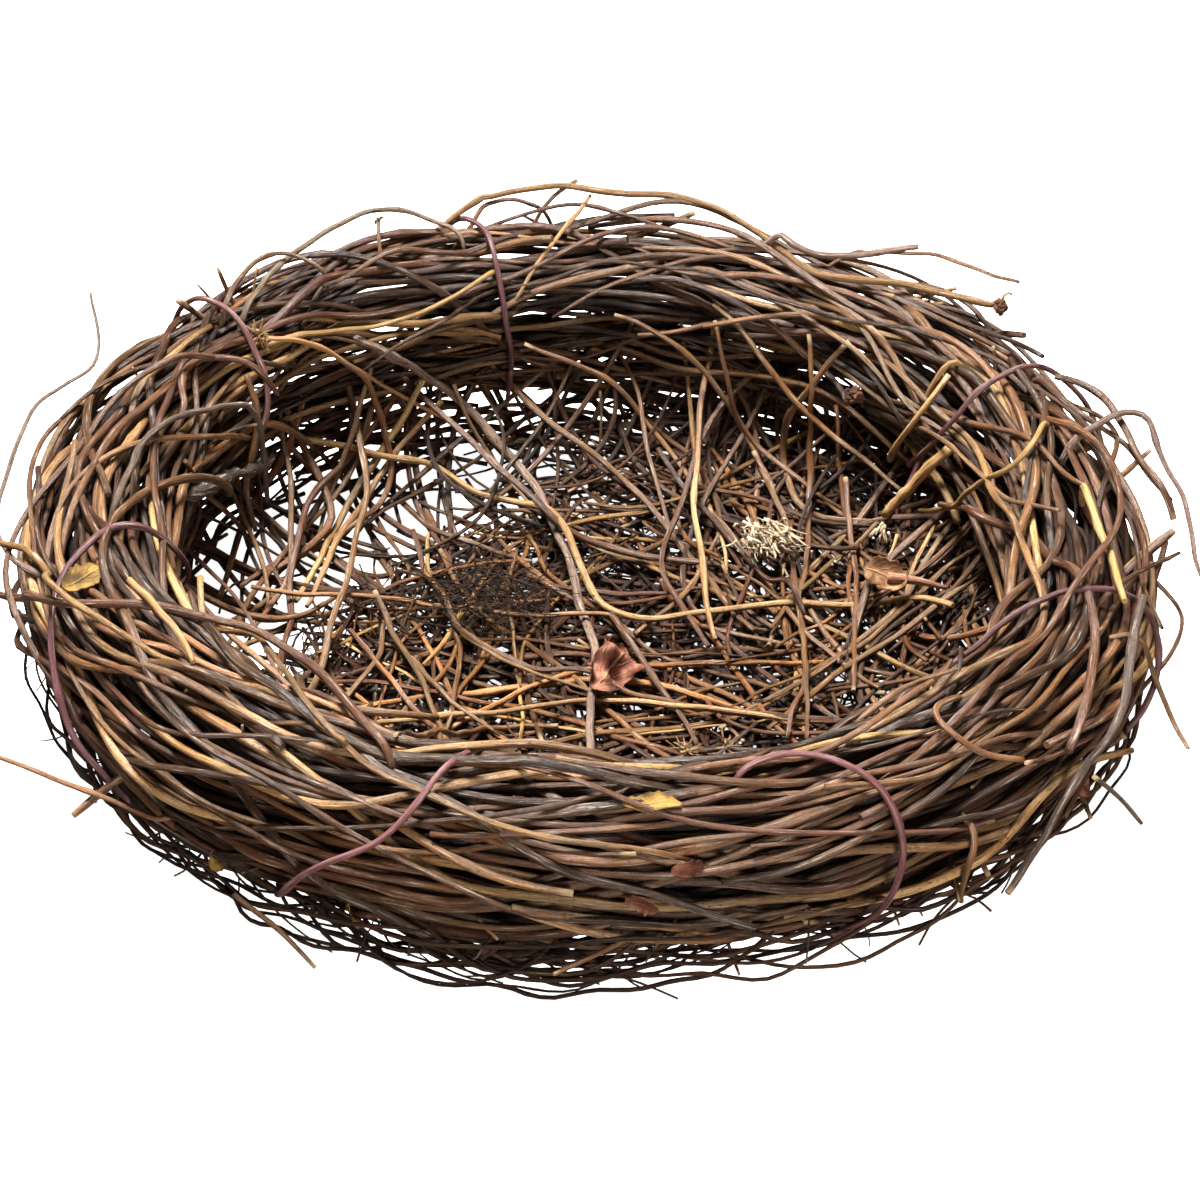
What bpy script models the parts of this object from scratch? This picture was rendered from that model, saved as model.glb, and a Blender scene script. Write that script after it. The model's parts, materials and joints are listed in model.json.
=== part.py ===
"""An empty bird nest, 150 mm across, made of thin brown vines.

A thick bundle of vines is coiled into a ring. Below it an open weave of crossing vines
runs down to a mat of twigs that lines the floor, and seven thinner vines bind the ring.
Loose vines, twigs, straws and leaf scraps lie on the ring and across the bowl.

The origin is the middle of the underside and +Z is up. Sizes are in millimetres until a
mesh or a curve is made, which is in metres. Angles are in degrees, from +X towards +Y.
"""

import math
import random

import bmesh
import bpy
import numpy as np

MM = 0.001

# ---- Driving dimensions
OUTER_DIAMETER = 150.0
RING_WIDTH = 20.0
RING_HEIGHT = 23.0
CREST_HEIGHT = 37.5
BASE_RADIUS = 49.2
LINING_THICKNESS = 4.6
CLEARANCE = 0.36

# ---- The coiled ring
RING_RADIUS = (OUTER_DIAMETER - RING_WIDTH) / 2
RING_MIDDLE = CREST_HEIGHT - RING_HEIGHT / 2
RING_STEPS = 54
SECTION_STEPS = 33
BUNDLES = 15
BUNDLE_WIDTH = 5.2
BUNDLE_DEPTH = 2.2
BUNDLE_WANDER = 34.0

# ---- The open weave between the ring and the floor
WEAVE_CROSSINGS = 25
WEAVE_THICKNESS = 1.5
WEAVE_HALF = 1.1
WEAVE_FOOT = (51.0, 1.5)
WEAVE_TOP = (62.5, 13.0)
WEAVE_SHIFT = 1.6

# ---- The floor lining, which climbs the wall on the right
LINING_STEPS = 36
LINING_RELIEF = 0.5
CLIMB_ANGLE = 30.0
CLIMB_SPREAD = 75.0
CLIMB_HEIGHT = 6.0
CLIMB_REACH = 4.5

# ---- Vines
TIE_RADIUS = 0.65
VINE_SPACING = 5.4
TIE_SPACING = 5.0
SETTLING_ROUNDS = 60
DRAWING_ROUNDS = 14
DRAWING_SHARE = 0.35
FLOOR_GAP = 6.0

COLOURS = {
    "brown_vine": (0.25, 0.16, 0.105),
    "purple_vine": (0.16, 0.085, 0.085),
    "grey_vine": (0.17, 0.13, 0.115),
    "tan_vine": (0.42, 0.26, 0.13),
    "straw": (0.62, 0.45, 0.2),
    "dark_weave": (0.1, 0.065, 0.045),
    "twig_mat": (0.14, 0.085, 0.045),
    "bark": (0.06, 0.045, 0.035),
    "dry_leaf": (0.3, 0.11, 0.05),
    "pale_fibre": (0.62, 0.52, 0.38),
}

# ---- The binding vines: (angle round the nest, angle round the ring's section).
# In the section 0 is the outer side, 90 the crest and 180 the inner side.
TIES = {
    1: [(146, -50), (145, 20), (146, 75), (147, 120), (149, 165), (151, 205)],
    2: [(112, -50), (110, 20), (107, 80), (106, 130), (105, 175), (104, 215)],
    3: [(20, -40), (23, 20), (27, 66), (27, 90), (27, 108), (27, 134), (28, 160), (36, 210)],
    4: [(-21, -50), (-19, -12), (-16, 22), (-17, 50), (-20, 85), (-24, 106), (-29, 124),
        (-39, 130), (-49, 128)],
    5: [(-64, -60), (-61, -15), (-60, 25), (-61, 60), (-64, 82), (-68, 97), (-72, 90)],
    6: [(-121, -70), (-118, -38), (-114, 0), (-110, 15), (-106, 40), (-104, 66), (-102, 97),
        (-100, 130)],
    7: [(196, 165), (197, 120), (199, 90), (203, 60), (208, 30), (214, -5), (221, -40), (226, -70)],
}

# ---- Loose vines and twigs: material, radius, radius at the far end, sides, points (x, y, z).
STRAYS = {
    "left_loop_twig": ("grey_vine", 0.5, 0.3, 4, [
        (-71, -22, 33), (-77, -11, 29), (-78, -4, 30), (-78, 2, 31), (-77, 10, 34),
        (-75, 14, 36), (-70, 20, 36), (-69, 24, 37), (-71, 32, 42)]),
    "left_edge_vine": ("brown_vine", 0.65, 0.65, 6, [
        (-76, -18, 26), (-66, -31, 34), (-59, -36, 38), (-54, -37, 39), (-49, -38, 39),
        (-45, -39, 39), (-40, -41, 39), (-35, -45, 39), (-31, -49, 39), (-28, -54, 39),
        (-23, -61, 39)]),
    "left_tan_vine": ("tan_vine", 0.6, 0.5, 6, [
        (-77, -8, 28), (-70, -21, 34), (-64, -32, 36), (-59, -38, 37), (-53, -44, 38),
        (-46, -49, 38), (-39, -52, 39), (-34, -55, 39), (-30, -59, 39), (-27, -62, 39)]),
    "back_left_short_arch": ("brown_vine", 0.55, 0.4, 4, [
        (-53, 38, 38), (-53, 40, 39), (-48, 50, 40), (-42, 48, 39)]),
    "back_left_long_arch": ("grey_vine", 0.6, 0.5, 4, [
        (-50, 38, 38), (-45, 53, 38), (-39, 59, 40), (-33, 64, 40), (-25, 64, 38),
        (-23, 61, 39)]),
    "budded_twig": ("brown_vine", 0.35, 0.6, 4, [(-33, 56, 38), (-34, 62, 41), (-35, 65, 42)]),
    "crest_loop_twig": ("brown_vine", 0.5, 0.4, 4, [
        (-19, 69, 38), (-17, 70, 39), (-15, 71, 39), (-12, 71, 39), (-10, 71, 37)]),
    "crest_fork_twig": ("brown_vine", 0.4, 0.45, 4, [(-10, 69, 38), (-8, 71, 40), (-5, 72, 42)]),
    "knobbed_vine": ("tan_vine", 0.65, 0.75, 6, [
        (-19, 68, 37), (-12, 70, 41), (-3, 71, 41), (7, 71, 41), (13, 70, 40), (17, 69, 40),
        (21, 66, 39), (25, 59, 39), (28, 55, 38), (32, 53, 38), (36, 52, 38), (43, 52, 38),
        (50, 50, 38), (54, 47, 39), (55, 46, 39)]),
    "inner_fork_twig": ("tan_vine", 0.4, 0.35, 4, [(-3, 71, 40), (-7, 61, 39), (-12, 55, 33)]),
    "cut_crest_vine": ("grey_vine", 0.75, 0.75, 6, [
        (25, 60, 39), (28, 57, 39), (36, 59, 39), (45, 58, 41)]),
    "thin_crest_twig": ("brown_vine", 0.4, 0.35, 4, [
        (36, 60, 38), (42, 58, 39), (50, 55, 40), (59, 49, 41)]),
    "right_thin_arch": ("brown_vine", 0.5, 0.4, 4, [
        (61, 27, 38), (65, 19, 38), (71, 16, 36), (76, 9, 33), (77, 7, 33)]),
    "right_mid_arch": ("brown_vine", 0.65, 0.65, 6, [
        (62, 26, 38), (67, 25, 39), (70, 20, 38), (73, 11, 36), (75, 6, 36), (77, 3, 32)]),
    "right_long_arch": ("grey_vine", 0.65, 0.4, 6, [
        (65, 14, 38), (71, 19, 38), (73, 19, 38), (74, 16, 38), (76, 11, 36), (78, 6, 35),
        (79, 1, 32), (80, -6, 29)]),
    "right_stub_twig": ("brown_vine", 0.45, 0.35, 4, [(67, -19, 37), (72, -12, 35), (77, -3, 31)]),
    "right_drooping_twig": ("brown_vine", 0.5, 0.4, 4, [
        (69, -26, 33), (71, -25, 29), (73, -26, 25), (74, -30, 23), (76, -33, 22)]),
    "lower_right_vine": ("grey_vine", 0.75, 0.6, 6, [
        (68, -22, 36), (67, -33, 32), (65, -39, 29), (61, -46, 28), (58, -49, 23),
        (54, -54, 19), (52, -57, 17)]),
    "hooked_twig": ("grey_vine", 0.45, 0.35, 4, [
        (61, -46, 27), (64, -44, 23), (66, -43, 23), (68, -44, 22), (69, -46, 20)]),
    "lower_left_twig": ("tan_vine", 0.45, 0.4, 4, [
        (-51, -54, 20), (-58, -50, 19), (-63, -47, 19), (-69, -44, 19), (-72, -43, 19)]),
    "lower_left_stray": ("brown_vine", 0.45, 0.35, 4, [
        (-40, -64, 17), (-34, -68, 15), (-30, -72, 13)]),
    "lower_right_stub": ("brown_vine", 0.55, 0.5, 4, [(47, -60, 26), (46, -61, 23), (46, -60, 18)]),
    "long_grey_vine": ("grey_vine", 0.7, 0.6, 6, [
        (-33, 43, 29), (-29, 46, 25), (-25, 49, 20), (-21, 51, 16), (-16, 48, 12),
        (-12, 45, 9), (-9, 40, 8), (-6, 32, 8), (-3, 20, 8), (-1, 11, 7), (1, 3, 7),
        (1, -6, 7), (1, -20, 8), (1, -36, 11), (1, -48, 18), (1, -52, 23)]),
    "long_tan_vine": ("tan_vine", 0.6, 0.5, 6, [
        (-43, 36, 17), (-38, 38, 15), (-29, 40, 12), (-24, 42, 10), (-19, 39, 8),
        (-13, 36, 8), (-9, 35, 8), (-6, 31, 8), (-3, 23, 8), (0, 15, 7), (4, 11, 7),
        (9, 10, 7), (19, 13, 7), (28, 14, 8), (35, 14, 8), (44, 13, 9), (50, 8, 13)]),
    "floor_tan_vine": ("tan_vine", 0.5, 0.45, 4, [
        (-47, 9, 10), (-38, 10, 8), (-28, 12, 7), (-18, 10, 7), (-7, 9, 7), (3, 8, 7)]),
    "back_green_vine": ("straw", 0.5, 0.4, 4, [
        (-45, 35, 34), (-39, 40, 33), (-31, 46, 31), (-24, 50, 32), (-18, 54, 35)]),
    "back_straw_vine": ("straw", 0.5, 0.4, 4, [
        (-48, 33, 35), (-41, 37, 32), (-34, 42, 25), (-28, 46, 18), (-22, 48, 14)]),
    "inner_left_hook": ("brown_vine", 0.6, 0.6, 4, [
        (-56, 14, 36), (-57, 20, 37), (-54, 25, 37), (-50, 27, 34), (-47, 29, 29)]),
    "inner_left_grey_vine": ("grey_vine", 0.6, 0.5, 4, [
        (-61, -12, 37), (-60, -3, 38), (-58, 7, 37), (-54, 15, 34), (-48, 24, 30),
        (-47, 25, 22), (-46, 24, 14)]),
    "floor_twig_1": ("brown_vine", 0.5, 0.4, 4, [
        (-30, 11, 7), (-25, 0, 7), (-20, -13, 7), (-15, -30, 7)]),
    "floor_twig_2": ("brown_vine", 0.5, 0.4, 4, [
        (-26, 27, 8), (-22, 15, 7), (-16, 3, 7), (-4, -4, 7), (8, -8, 7), (22, -11, 7),
        (33, -12, 8)]),
    "floor_twig_3": ("brown_vine", 0.5, 0.45, 4, [
        (23, 45, 13), (26, 38, 10), (28, 28, 8), (29, 14, 7), (30, 0, 7), (27, -16, 7)]),
    "floor_twig_4": ("brown_vine", 0.5, 0.4, 4, [(9, 46, 12), (14, 38, 9), (22, 25, 8), (30, 10, 7)]),
    "floor_twig_5": ("purple_vine", 0.5, 0.4, 4, [(36, 37, 14), (37, 25, 10), (37, 10, 8), (36, -6, 8)]),
    "right_straw_loop": ("straw", 0.5, 0.4, 4, [
        (60, 16, 38), (58, 11, 38), (56, 9, 36), (52, 13, 30), (49, 20, 21), (46, 27, 16)]),
    "right_return_twig": ("brown_vine", 0.5, 0.5, 4, [
        (44, -47, 38), (41, -51, 39), (43, -55, 39), (48, -56, 37), (52, -55, 36)]),
    "bark_twig": ("bark", 1.2, 1.0, 6, [(-53, 8, 26), (-50, 22, 20), (-46, 32, 17)]),
    "split_branch": ("brown_vine", 0.9, 1.0, 6, [(47, 25, 26), (46, 31, 18), (44, 29, 13)]),
    "split_branch_splinter": ("pale_fibre", 0.5, 0.15, 4, [(43, 25, 13), (42, 21, 11), (40, 18, 10)]),
    "pale_straw": ("straw", 0.55, 0.55, 4, [(48, 33, 36), (45, 31, 29), (42, 36, 19)]),
    "right_yellow_straw": ("straw", 0.5, 0.5, 4, [(64, -1, 39), (65, -12, 39), (66, -25, 37)]),
    "split_stem": ("straw", 0.65, 0.5, 4, [(-56, -34, 39), (-53, -38, 39), (-49, -43, 39), (-46, -49, 38)]),
}

# ---- Flat scraps: material, place, length, width, turn, slope.
SCRAPS = {
    "crumpled_leaf": ("dry_leaf", (4.5, -4.6, 9.8), 10, 7, -80, 12),
    "bark_scrap": ("dry_leaf", (43.6, 13.1, 13.5), 12, 4.5, 15, 20),
}

# ---- Small rough lumps: material, place, size.
LUMPS = {
    "seed_tuft": ("pale_fibre", (24.3, 25.8, 11.2), (5, 4, 2.2)),
    "root_clump": ("bark", (-14, 11.3, 9.6), (6, 4.5, 1.6)),
    "back_bud": ("dry_leaf", (36.2, 38.8, 27.3), (1.5, 1.5, 1.3)),
    "crest_knob": ("bark", (56.2, 44.8, 39.4), (1.0, 1.0, 1.0)),
}


def clear_scene():
    for thing in list(bpy.data.objects):
        bpy.data.objects.remove(thing, do_unlink=True)


def new_material(name):
    material = bpy.data.materials.new(name)
    material.use_nodes = True
    shader = material.node_tree.nodes["Principled BSDF"]
    shader.inputs["Base Color"].default_value = (*COLOURS[name], 1.0)
    shader.inputs["Roughness"].default_value = 0.75
    shader.inputs["Metallic"].default_value = 0.0
    return material


def keep(thing, name, material):
    """Names the object, gives it its material and puts it in the nest's collection."""
    thing.name = name
    thing.data.name = name
    thing.data.materials.clear()
    thing.data.materials.append(material)
    for home in list(thing.users_collection):
        home.objects.unlink(thing)
    bpy.data.collections["bird_nest"].objects.link(thing)
    return thing


def unit(vector):
    return vector / max(np.linalg.norm(vector), 1e-9)


def ring_point(angle, section, lift):
    """A point lift above the ring's ridges, at these angles in degrees."""
    turn, tilt = math.radians(angle), math.radians(section)
    out = RING_RADIUS + (RING_WIDTH / 2 + lift) * math.cos(tilt)
    up = RING_MIDDLE + (RING_HEIGHT / 2 + lift) * math.sin(tilt)
    return (out * math.cos(turn), out * math.sin(turn), up)


# ---- The three main forms


def bundle_paths():
    """Where each bundle of vines lies in the section, as a function of the angle round the ring."""
    rng = random.Random(11)
    paths = []
    for number in range(BUNDLES):
        waves = [(k, rng.uniform(0.3, 1.0) / k, rng.uniform(0, 2 * math.pi)) for k in (1, 2, 3)]
        paths.append((360.0 * number / BUNDLES, waves))
    return paths


def bundle_relief(turn, tilt, paths):
    """How deep the surface lies under the ring's outline: 0 on a bundle, most between them."""
    nearest = 1.0
    for start, waves in paths:
        wander = sum(size * math.sin(k * turn + phase) for k, size, phase in waves)
        middle = math.radians(start + BUNDLE_WANDER * wander)
        away = abs(math.remainder(tilt - middle, 2 * math.pi)) * RING_HEIGHT / 2
        nearest = min(nearest, (away / (BUNDLE_WIDTH / 2)) ** 2)
    return BUNDLE_DEPTH * nearest


def make_ring():
    """A torus whose surface is raised in rounded bundles that cross as they run round it."""
    bpy.ops.mesh.primitive_torus_add(
        major_segments=RING_STEPS,
        minor_segments=SECTION_STEPS,
        major_radius=RING_RADIUS * MM,
        minor_radius=RING_WIDTH / 2 * MM,
    )
    ring = bpy.context.object
    paths = bundle_paths()
    for corner in ring.data.vertices:
        x, y, z = corner.co / MM
        turn = math.atan2(y, x)
        tilt = math.atan2(z, math.hypot(x, y) - RING_RADIUS)
        depth = bundle_relief(turn, tilt, paths)
        place = ring_point(math.degrees(turn), math.degrees(tilt), -depth)
        corner.co = [value * MM for value in place]
    return keep(ring, "coiled_vine_ring", new_material("brown_vine"))


def make_weave():
    """One row of crossings between two hoops, as thin bars.

    Poking each panel of an open drum draws its diagonals, and dissolving the upright edges
    between the panels leaves the diagonals alone.
    """
    bpy.ops.mesh.primitive_cylinder_add(
        vertices=WEAVE_CROSSINGS, radius=BASE_RADIUS * MM, depth=MM, end_fill_type="NOTHING"
    )
    weave = bpy.context.object
    drum = bmesh.new()
    drum.from_mesh(weave.data)
    uprights = [edge for edge in drum.edges if not edge.is_boundary]
    bmesh.ops.poke(drum, faces=drum.faces[:])
    bmesh.ops.dissolve_edges(drum, edges=uprights, use_verts=False)
    rng = random.Random(7)
    for corner in drum.verts:
        turn = math.atan2(corner.co.y, corner.co.x)
        share = corner.co.z / MM + 0.5
        if 0.1 < share < 0.9:
            share += rng.uniform(-0.08, 0.08)
            turn += math.radians(rng.uniform(-WEAVE_SHIFT, WEAVE_SHIFT))
        out = WEAVE_FOOT[0] + (WEAVE_TOP[0] - WEAVE_FOOT[0]) * share
        up = WEAVE_FOOT[1] + (WEAVE_TOP[1] - WEAVE_FOOT[1]) * share
        corner.co = (out * math.cos(turn) * MM, out * math.sin(turn) * MM, up * MM)
    drum.to_mesh(weave.data)
    drum.free()
    bars = weave.modifiers.new("bars", "WIREFRAME")
    bars.thickness = WEAVE_THICKNESS * MM
    bars.use_boundary = True
    bars.use_replace = True
    bars.use_even_offset = False
    return keep(weave, "open_weave_wall", new_material("dark_weave"))


def climb(turn):
    """How far the lining has climbed at this angle, from 0 to 1. The angle is in radians."""
    away = math.degrees(math.remainder(turn - math.radians(CLIMB_ANGLE), 2 * math.pi))
    return max(0.0, math.cos(math.radians(min(90.0, 90.0 * abs(away) / CLIMB_SPREAD)))) ** 1.2


def lining_top(out, turn):
    """The height of the lining's upper side at this distance from the middle."""
    share = max(0.0, (out - 30.0) / (BASE_RADIUS - 30.0))
    return LINING_THICKNESS + share * share * (1.2 + CLIMB_HEIGHT * climb(turn))


def make_lining():
    """A turned mat with a flat underside, whose lip climbs the wall on one side."""
    rim = BASE_RADIUS
    top = LINING_THICKNESS
    profile = [(0, top), (12, top), (23, top), (33, top), (41, top), (rim - 1, top)]
    profile += [(rim, top - 1.6), (rim - 1.2, 0), (0, 0)]
    points = [(out * MM, 0, up * MM) for out, up in profile]
    outline = bpy.data.meshes.new("twig_lining")
    outline.from_pydata(points, [(i, i + 1) for i in range(len(points) - 1)], [])
    lining = bpy.data.objects.new("twig_lining", outline)
    bpy.context.scene.collection.objects.link(lining)
    turned = lining.modifiers.new("turned", "SCREW")
    turned.steps = LINING_STEPS
    turned.render_steps = LINING_STEPS
    turned.use_merge_vertices = True
    turned.merge_threshold = 0.0001
    graph = bpy.context.evaluated_depsgraph_get()
    solid = bpy.data.meshes.new_from_object(lining.evaluated_get(graph))
    lining.modifiers.clear()
    lining.data = solid
    rng = random.Random(3)
    for corner in solid.vertices:
        x, y, z = corner.co / MM
        out, turn = math.hypot(x, y), math.atan2(y, x)
        if z < 0.1:
            continue
        rise = lining_top(out, turn) - top
        if out > rim - 2:
            out += CLIMB_REACH * climb(turn)
        elif out > 1:
            rise += rng.uniform(-LINING_RELIEF, 0)
        corner.co = (out * math.cos(turn) * MM, out * math.sin(turn) * MM, (z + rise) * MM)
    return keep(lining, "twig_lining", new_material("twig_mat"))


# ---- Vines, each laid over what is already there


def smooth_route(points, spacing):
    """Points every spacing along a Catmull-Rom curve through the given ones."""
    points = [np.array(point, float) for point in points]
    ends = [2 * points[0] - points[1], *points, 2 * points[-1] - points[-2]]
    fine = []
    for p0, p1, p2, p3 in zip(ends, ends[1:], ends[2:], ends[3:]):
        for t in np.linspace(0, 1, 12, endpoint=False):
            fine.append(
                0.5
                * (
                    2 * p1
                    + (p2 - p0) * t
                    + (2 * p0 - 5 * p1 + 4 * p2 - p3) * t**2
                    + (3 * p1 - p0 - 3 * p2 + p3) * t**3
                )
            )
    fine = np.array([*fine, points[-1]])
    travelled = np.concatenate([[0], np.linalg.norm(np.diff(fine, axis=0), axis=1).cumsum()])
    count = max(3, round(travelled[-1] / spacing) + 1)
    wanted = np.linspace(0, travelled[-1], count)
    return np.stack([np.interp(wanted, travelled, fine[:, axis]) for axis in range(3)], axis=1)


def ring_gap(point):
    """The distance from a point to the ring's ridges, and the way straight off them."""
    out = math.hypot(point[0], point[1])
    across = (out - RING_RADIUS) / (RING_WIDTH / 2)
    along = (point[2] - RING_MIDDLE) / (RING_HEIGHT / 2)
    size = max(math.hypot(across, along), 0.05)
    reach = math.hypot(out - RING_RADIUS, point[2] - RING_MIDDLE)
    side = across / (RING_WIDTH / 2) / max(out, 1e-6)
    way = unit(np.array([point[0] * side, point[1] * side, along / (RING_HEIGHT / 2)]))
    return reach * (1 - 1 / size), way


def lining_gap(point):
    """The height of a point over the lining, far away where it is outside the wall."""
    out, turn = math.hypot(point[0], point[1]), math.atan2(point[1], point[0])
    if out > BASE_RADIUS + CLIMB_REACH + 2:
        return 99.0, np.array([0, 0, 1.0])
    return point[2] - lining_top(out, turn), np.array([0, 0, 1.0])


def weave_gap(point):
    """The distance from a point to the weave's slanting drum, on whichever side it is."""
    out = math.hypot(point[0], point[1])
    slope = np.array([WEAVE_TOP[0] - WEAVE_FOOT[0], WEAVE_TOP[1] - WEAVE_FOOT[1]])
    length = np.linalg.norm(slope)
    share = np.clip(np.dot((out - WEAVE_FOOT[0], point[2] - WEAVE_FOOT[1]), slope) / length**2, 0, 1)
    away = np.array([out, point[2]]) - np.array(WEAVE_FOOT) - share * slope
    distance = max(np.linalg.norm(away), 1e-6)
    across = away[0] / distance / max(out, 1e-6)
    way = np.array([point[0] * across, point[1] * across, away[1] / distance])
    return distance - WEAVE_HALF, unit(way)


def nearest_pair(start, end, starts, ends):
    """The closest points of one stretch and each of many others."""
    one, many = end - start, ends - starts
    gap = start - starts
    a, e = one @ one, (many * many).sum(1)
    b, c, f = many @ one, gap @ one, (many * gap).sum(1)
    spread = np.maximum(a * e - b * b, 1e-9)
    s = np.clip((b * f - c * e) / spread, 0, 1)
    t = np.clip((b * s + f) / e, 0, 1)
    s = np.clip((b * t - c) / a, 0, 1)
    return start + s[:, None] * one, starts + t[:, None] * many


LAID = []


def form_gaps(point):
    """The gap from a point to each of the three main forms, with the way off it."""
    return ring_gap(point), lining_gap(point), weave_gap(point)


def is_clear(start, end, radius, starts, ends, radii):
    """Whether a stretch of vine clears the three main forms and these other stretches."""
    mine, theirs = nearest_pair(start, end, starts, ends)
    if (np.linalg.norm(mine - theirs, axis=1) - radii).min() < radius + CLEARANCE:
        return False
    places = [(1 - share) * start + share * end for share in np.linspace(0, 1, 5)]
    return min(gap for place in places for gap, _ in form_gaps(place)) > radius + CLEARANCE


def draw_back(route, planned, radius):
    """Moves each point of a settled route back to its plan as far as the vine stays clear."""
    laid = [np.concatenate(rows) for rows in zip(*LAID)]
    for _ in range(DRAWING_ROUNDS):
        for i, wanted in enumerate(planned):
            there = route[i].copy()
            route[i] = there + DRAWING_SHARE * (wanted - there)
            beside = range(max(i - 1, 0), min(i + 1, len(route) - 1))
            if not all(is_clear(route[j], route[j + 1], radius, *laid) for j in beside):
                route[i] = there


def settle(route, radius):
    """Moves a route until it clears the ring, the weave, the lining and the laid vines."""
    planned = route.copy()
    for _ in range(SETTLING_ROUNDS):
        moved = False
        for i in range(len(route) - 1):
            for share in (0.0, 0.5, 1.0):
                point = (1 - share) * route[i] + share * route[i + 1]
                for gap, way in form_gaps(point):
                    short = radius + CLEARANCE - gap
                    if short > 0.001:
                        route[i] += way * short * min(1.0, 2 - 2 * share)
                        route[i + 1] += way * short * min(1.0, 2 * share)
                        moved = True
            for starts, ends, radii in LAID:
                mine, theirs = nearest_pair(route[i], route[i + 1], starts, ends)
                distances = np.linalg.norm(mine - theirs, axis=1)
                worst = distances.argmin()
                short = radius + radii[worst] + CLEARANCE - distances[worst]
                if short < 0.001:
                    continue
                off_ring, way = ring_gap(mine[worst])
                if off_ring > FLOOR_GAP and math.hypot(*mine[worst][:2]) < RING_RADIUS:
                    way = np.array([0, 0, 1.0])
                below = (mine[worst] - theirs[worst]) @ way < 0
                step = way * (short + (2 * distances[worst] if below else 0) + 0.02)
                route[i] += step
                route[i + 1] += step
                moved = True
        if not moved:
            break
    if LAID:
        draw_back(route, planned, radius)
    LAID.append((route[:-1].copy(), route[1:].copy(), np.full(len(route) - 1, radius)))
    return route


def lay_vine(name, material, points, radius, tip_radius, sides, spacing):
    """A tube along a settled route. Its corners lie on its radius, and it tapers to its tip."""
    route = settle(smooth_route(points, spacing), max(radius, tip_radius))
    curve = bpy.data.curves.new(name, "CURVE")
    curve.dimensions = "3D"
    curve.bevel_depth = MM
    curve.bevel_resolution = (sides - 4) // 2
    curve.use_fill_caps = True
    spline = curve.splines.new("POLY")
    spline.points.add(len(route) - 1)
    for i, (corner, place) in enumerate(zip(spline.points, route)):
        corner.co = (*(place * MM), 1)
        corner.radius = radius + (tip_radius - radius) * i / (len(route) - 1)
    return keep(bpy.data.objects.new(name, curve), name, material)


def make_ties(material):
    for number, turns in TIES.items():
        points = [ring_point(angle, section, TIE_RADIUS + 0.5) for angle, section in turns]
        lay_vine(
            f"binding_vine_{number}", material, points, TIE_RADIUS, TIE_RADIUS, 6, TIE_SPACING
        )


def make_strays(materials):
    for name, (colour, radius, tip_radius, sides, points) in STRAYS.items():
        lay_vine(name, materials[colour], points, radius, tip_radius, sides, VINE_SPACING)


# ---- Scraps and lumps


def make_scrap(name, material, place, length, width, turn, slope):
    """A thin, wavy, pointed leaf: a small grid, narrowed to its ends and given a thickness."""
    bpy.ops.mesh.primitive_grid_add(x_subdivisions=6, y_subdivisions=2, size=2)
    leaf = bpy.context.object
    for corner in leaf.data.vertices:
        x, y, _ = corner.co
        narrow = 0.25 + 0.75 * math.cos(0.5 * math.pi * x) ** 0.7 if abs(x) < 0.999 else 0.2
        ripple = 0.12 * math.sin(4 * x + 1) + 0.1 * math.cos(3 * y + 5 * x)
        corner.co = (x * length / 2 * MM, y * narrow * width / 2 * MM, ripple * width / 2 * MM)
    leaf.location = [value * MM for value in place]
    leaf.rotation_euler = (math.radians(8), math.radians(-slope), math.radians(turn))
    skin = leaf.modifiers.new("thickness", "SOLIDIFY")
    skin.thickness = 0.4 * MM
    return keep(leaf, name, material)


def make_lump(name, material, place, size):
    """A small rough ball."""
    bpy.ops.mesh.primitive_ico_sphere_add(subdivisions=1, radius=MM)
    lump = bpy.context.object
    rng = random.Random(len(name))
    for corner in lump.data.vertices:
        corner.co *= rng.uniform(0.85, 1.0)
        corner.co = [value * stretch for value, stretch in zip(corner.co, size)]
    lump.location = [value * MM for value in place]
    return keep(lump, name, material)


def main():
    clear_scene()
    bpy.context.scene.collection.children.link(bpy.data.collections.new("bird_nest"))
    make_ring()
    make_weave()
    make_lining()
    materials = {name: bpy.data.materials.get(name) or new_material(name) for name in COLOURS}
    make_ties(materials["purple_vine"])
    make_strays(materials)
    for name, (colour, *sizes) in SCRAPS.items():
        make_scrap(name, materials[colour], *sizes)
    for name, (colour, place, size) in LUMPS.items():
        make_lump(name, materials[colour], place, size)


main()
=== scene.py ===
# %% [markdown]
# # An empty nest of brown vines
#
# The real object is a bundle of long thin vines coiled into a ring, with an open weave
# below it and a mat of short twigs on its floor. Its look is in hundreds of single vines
# that lie on and over each other. Blender's hair or particles could draw them, but they
# aren't meshes, so here each vine is a tube and many tubes are joined into one mesh.
#
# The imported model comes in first. Every size below is read from it or is a named number
# in millimetres. The part's origin is the middle of its underside.

# %% Load the frame
import math

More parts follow.
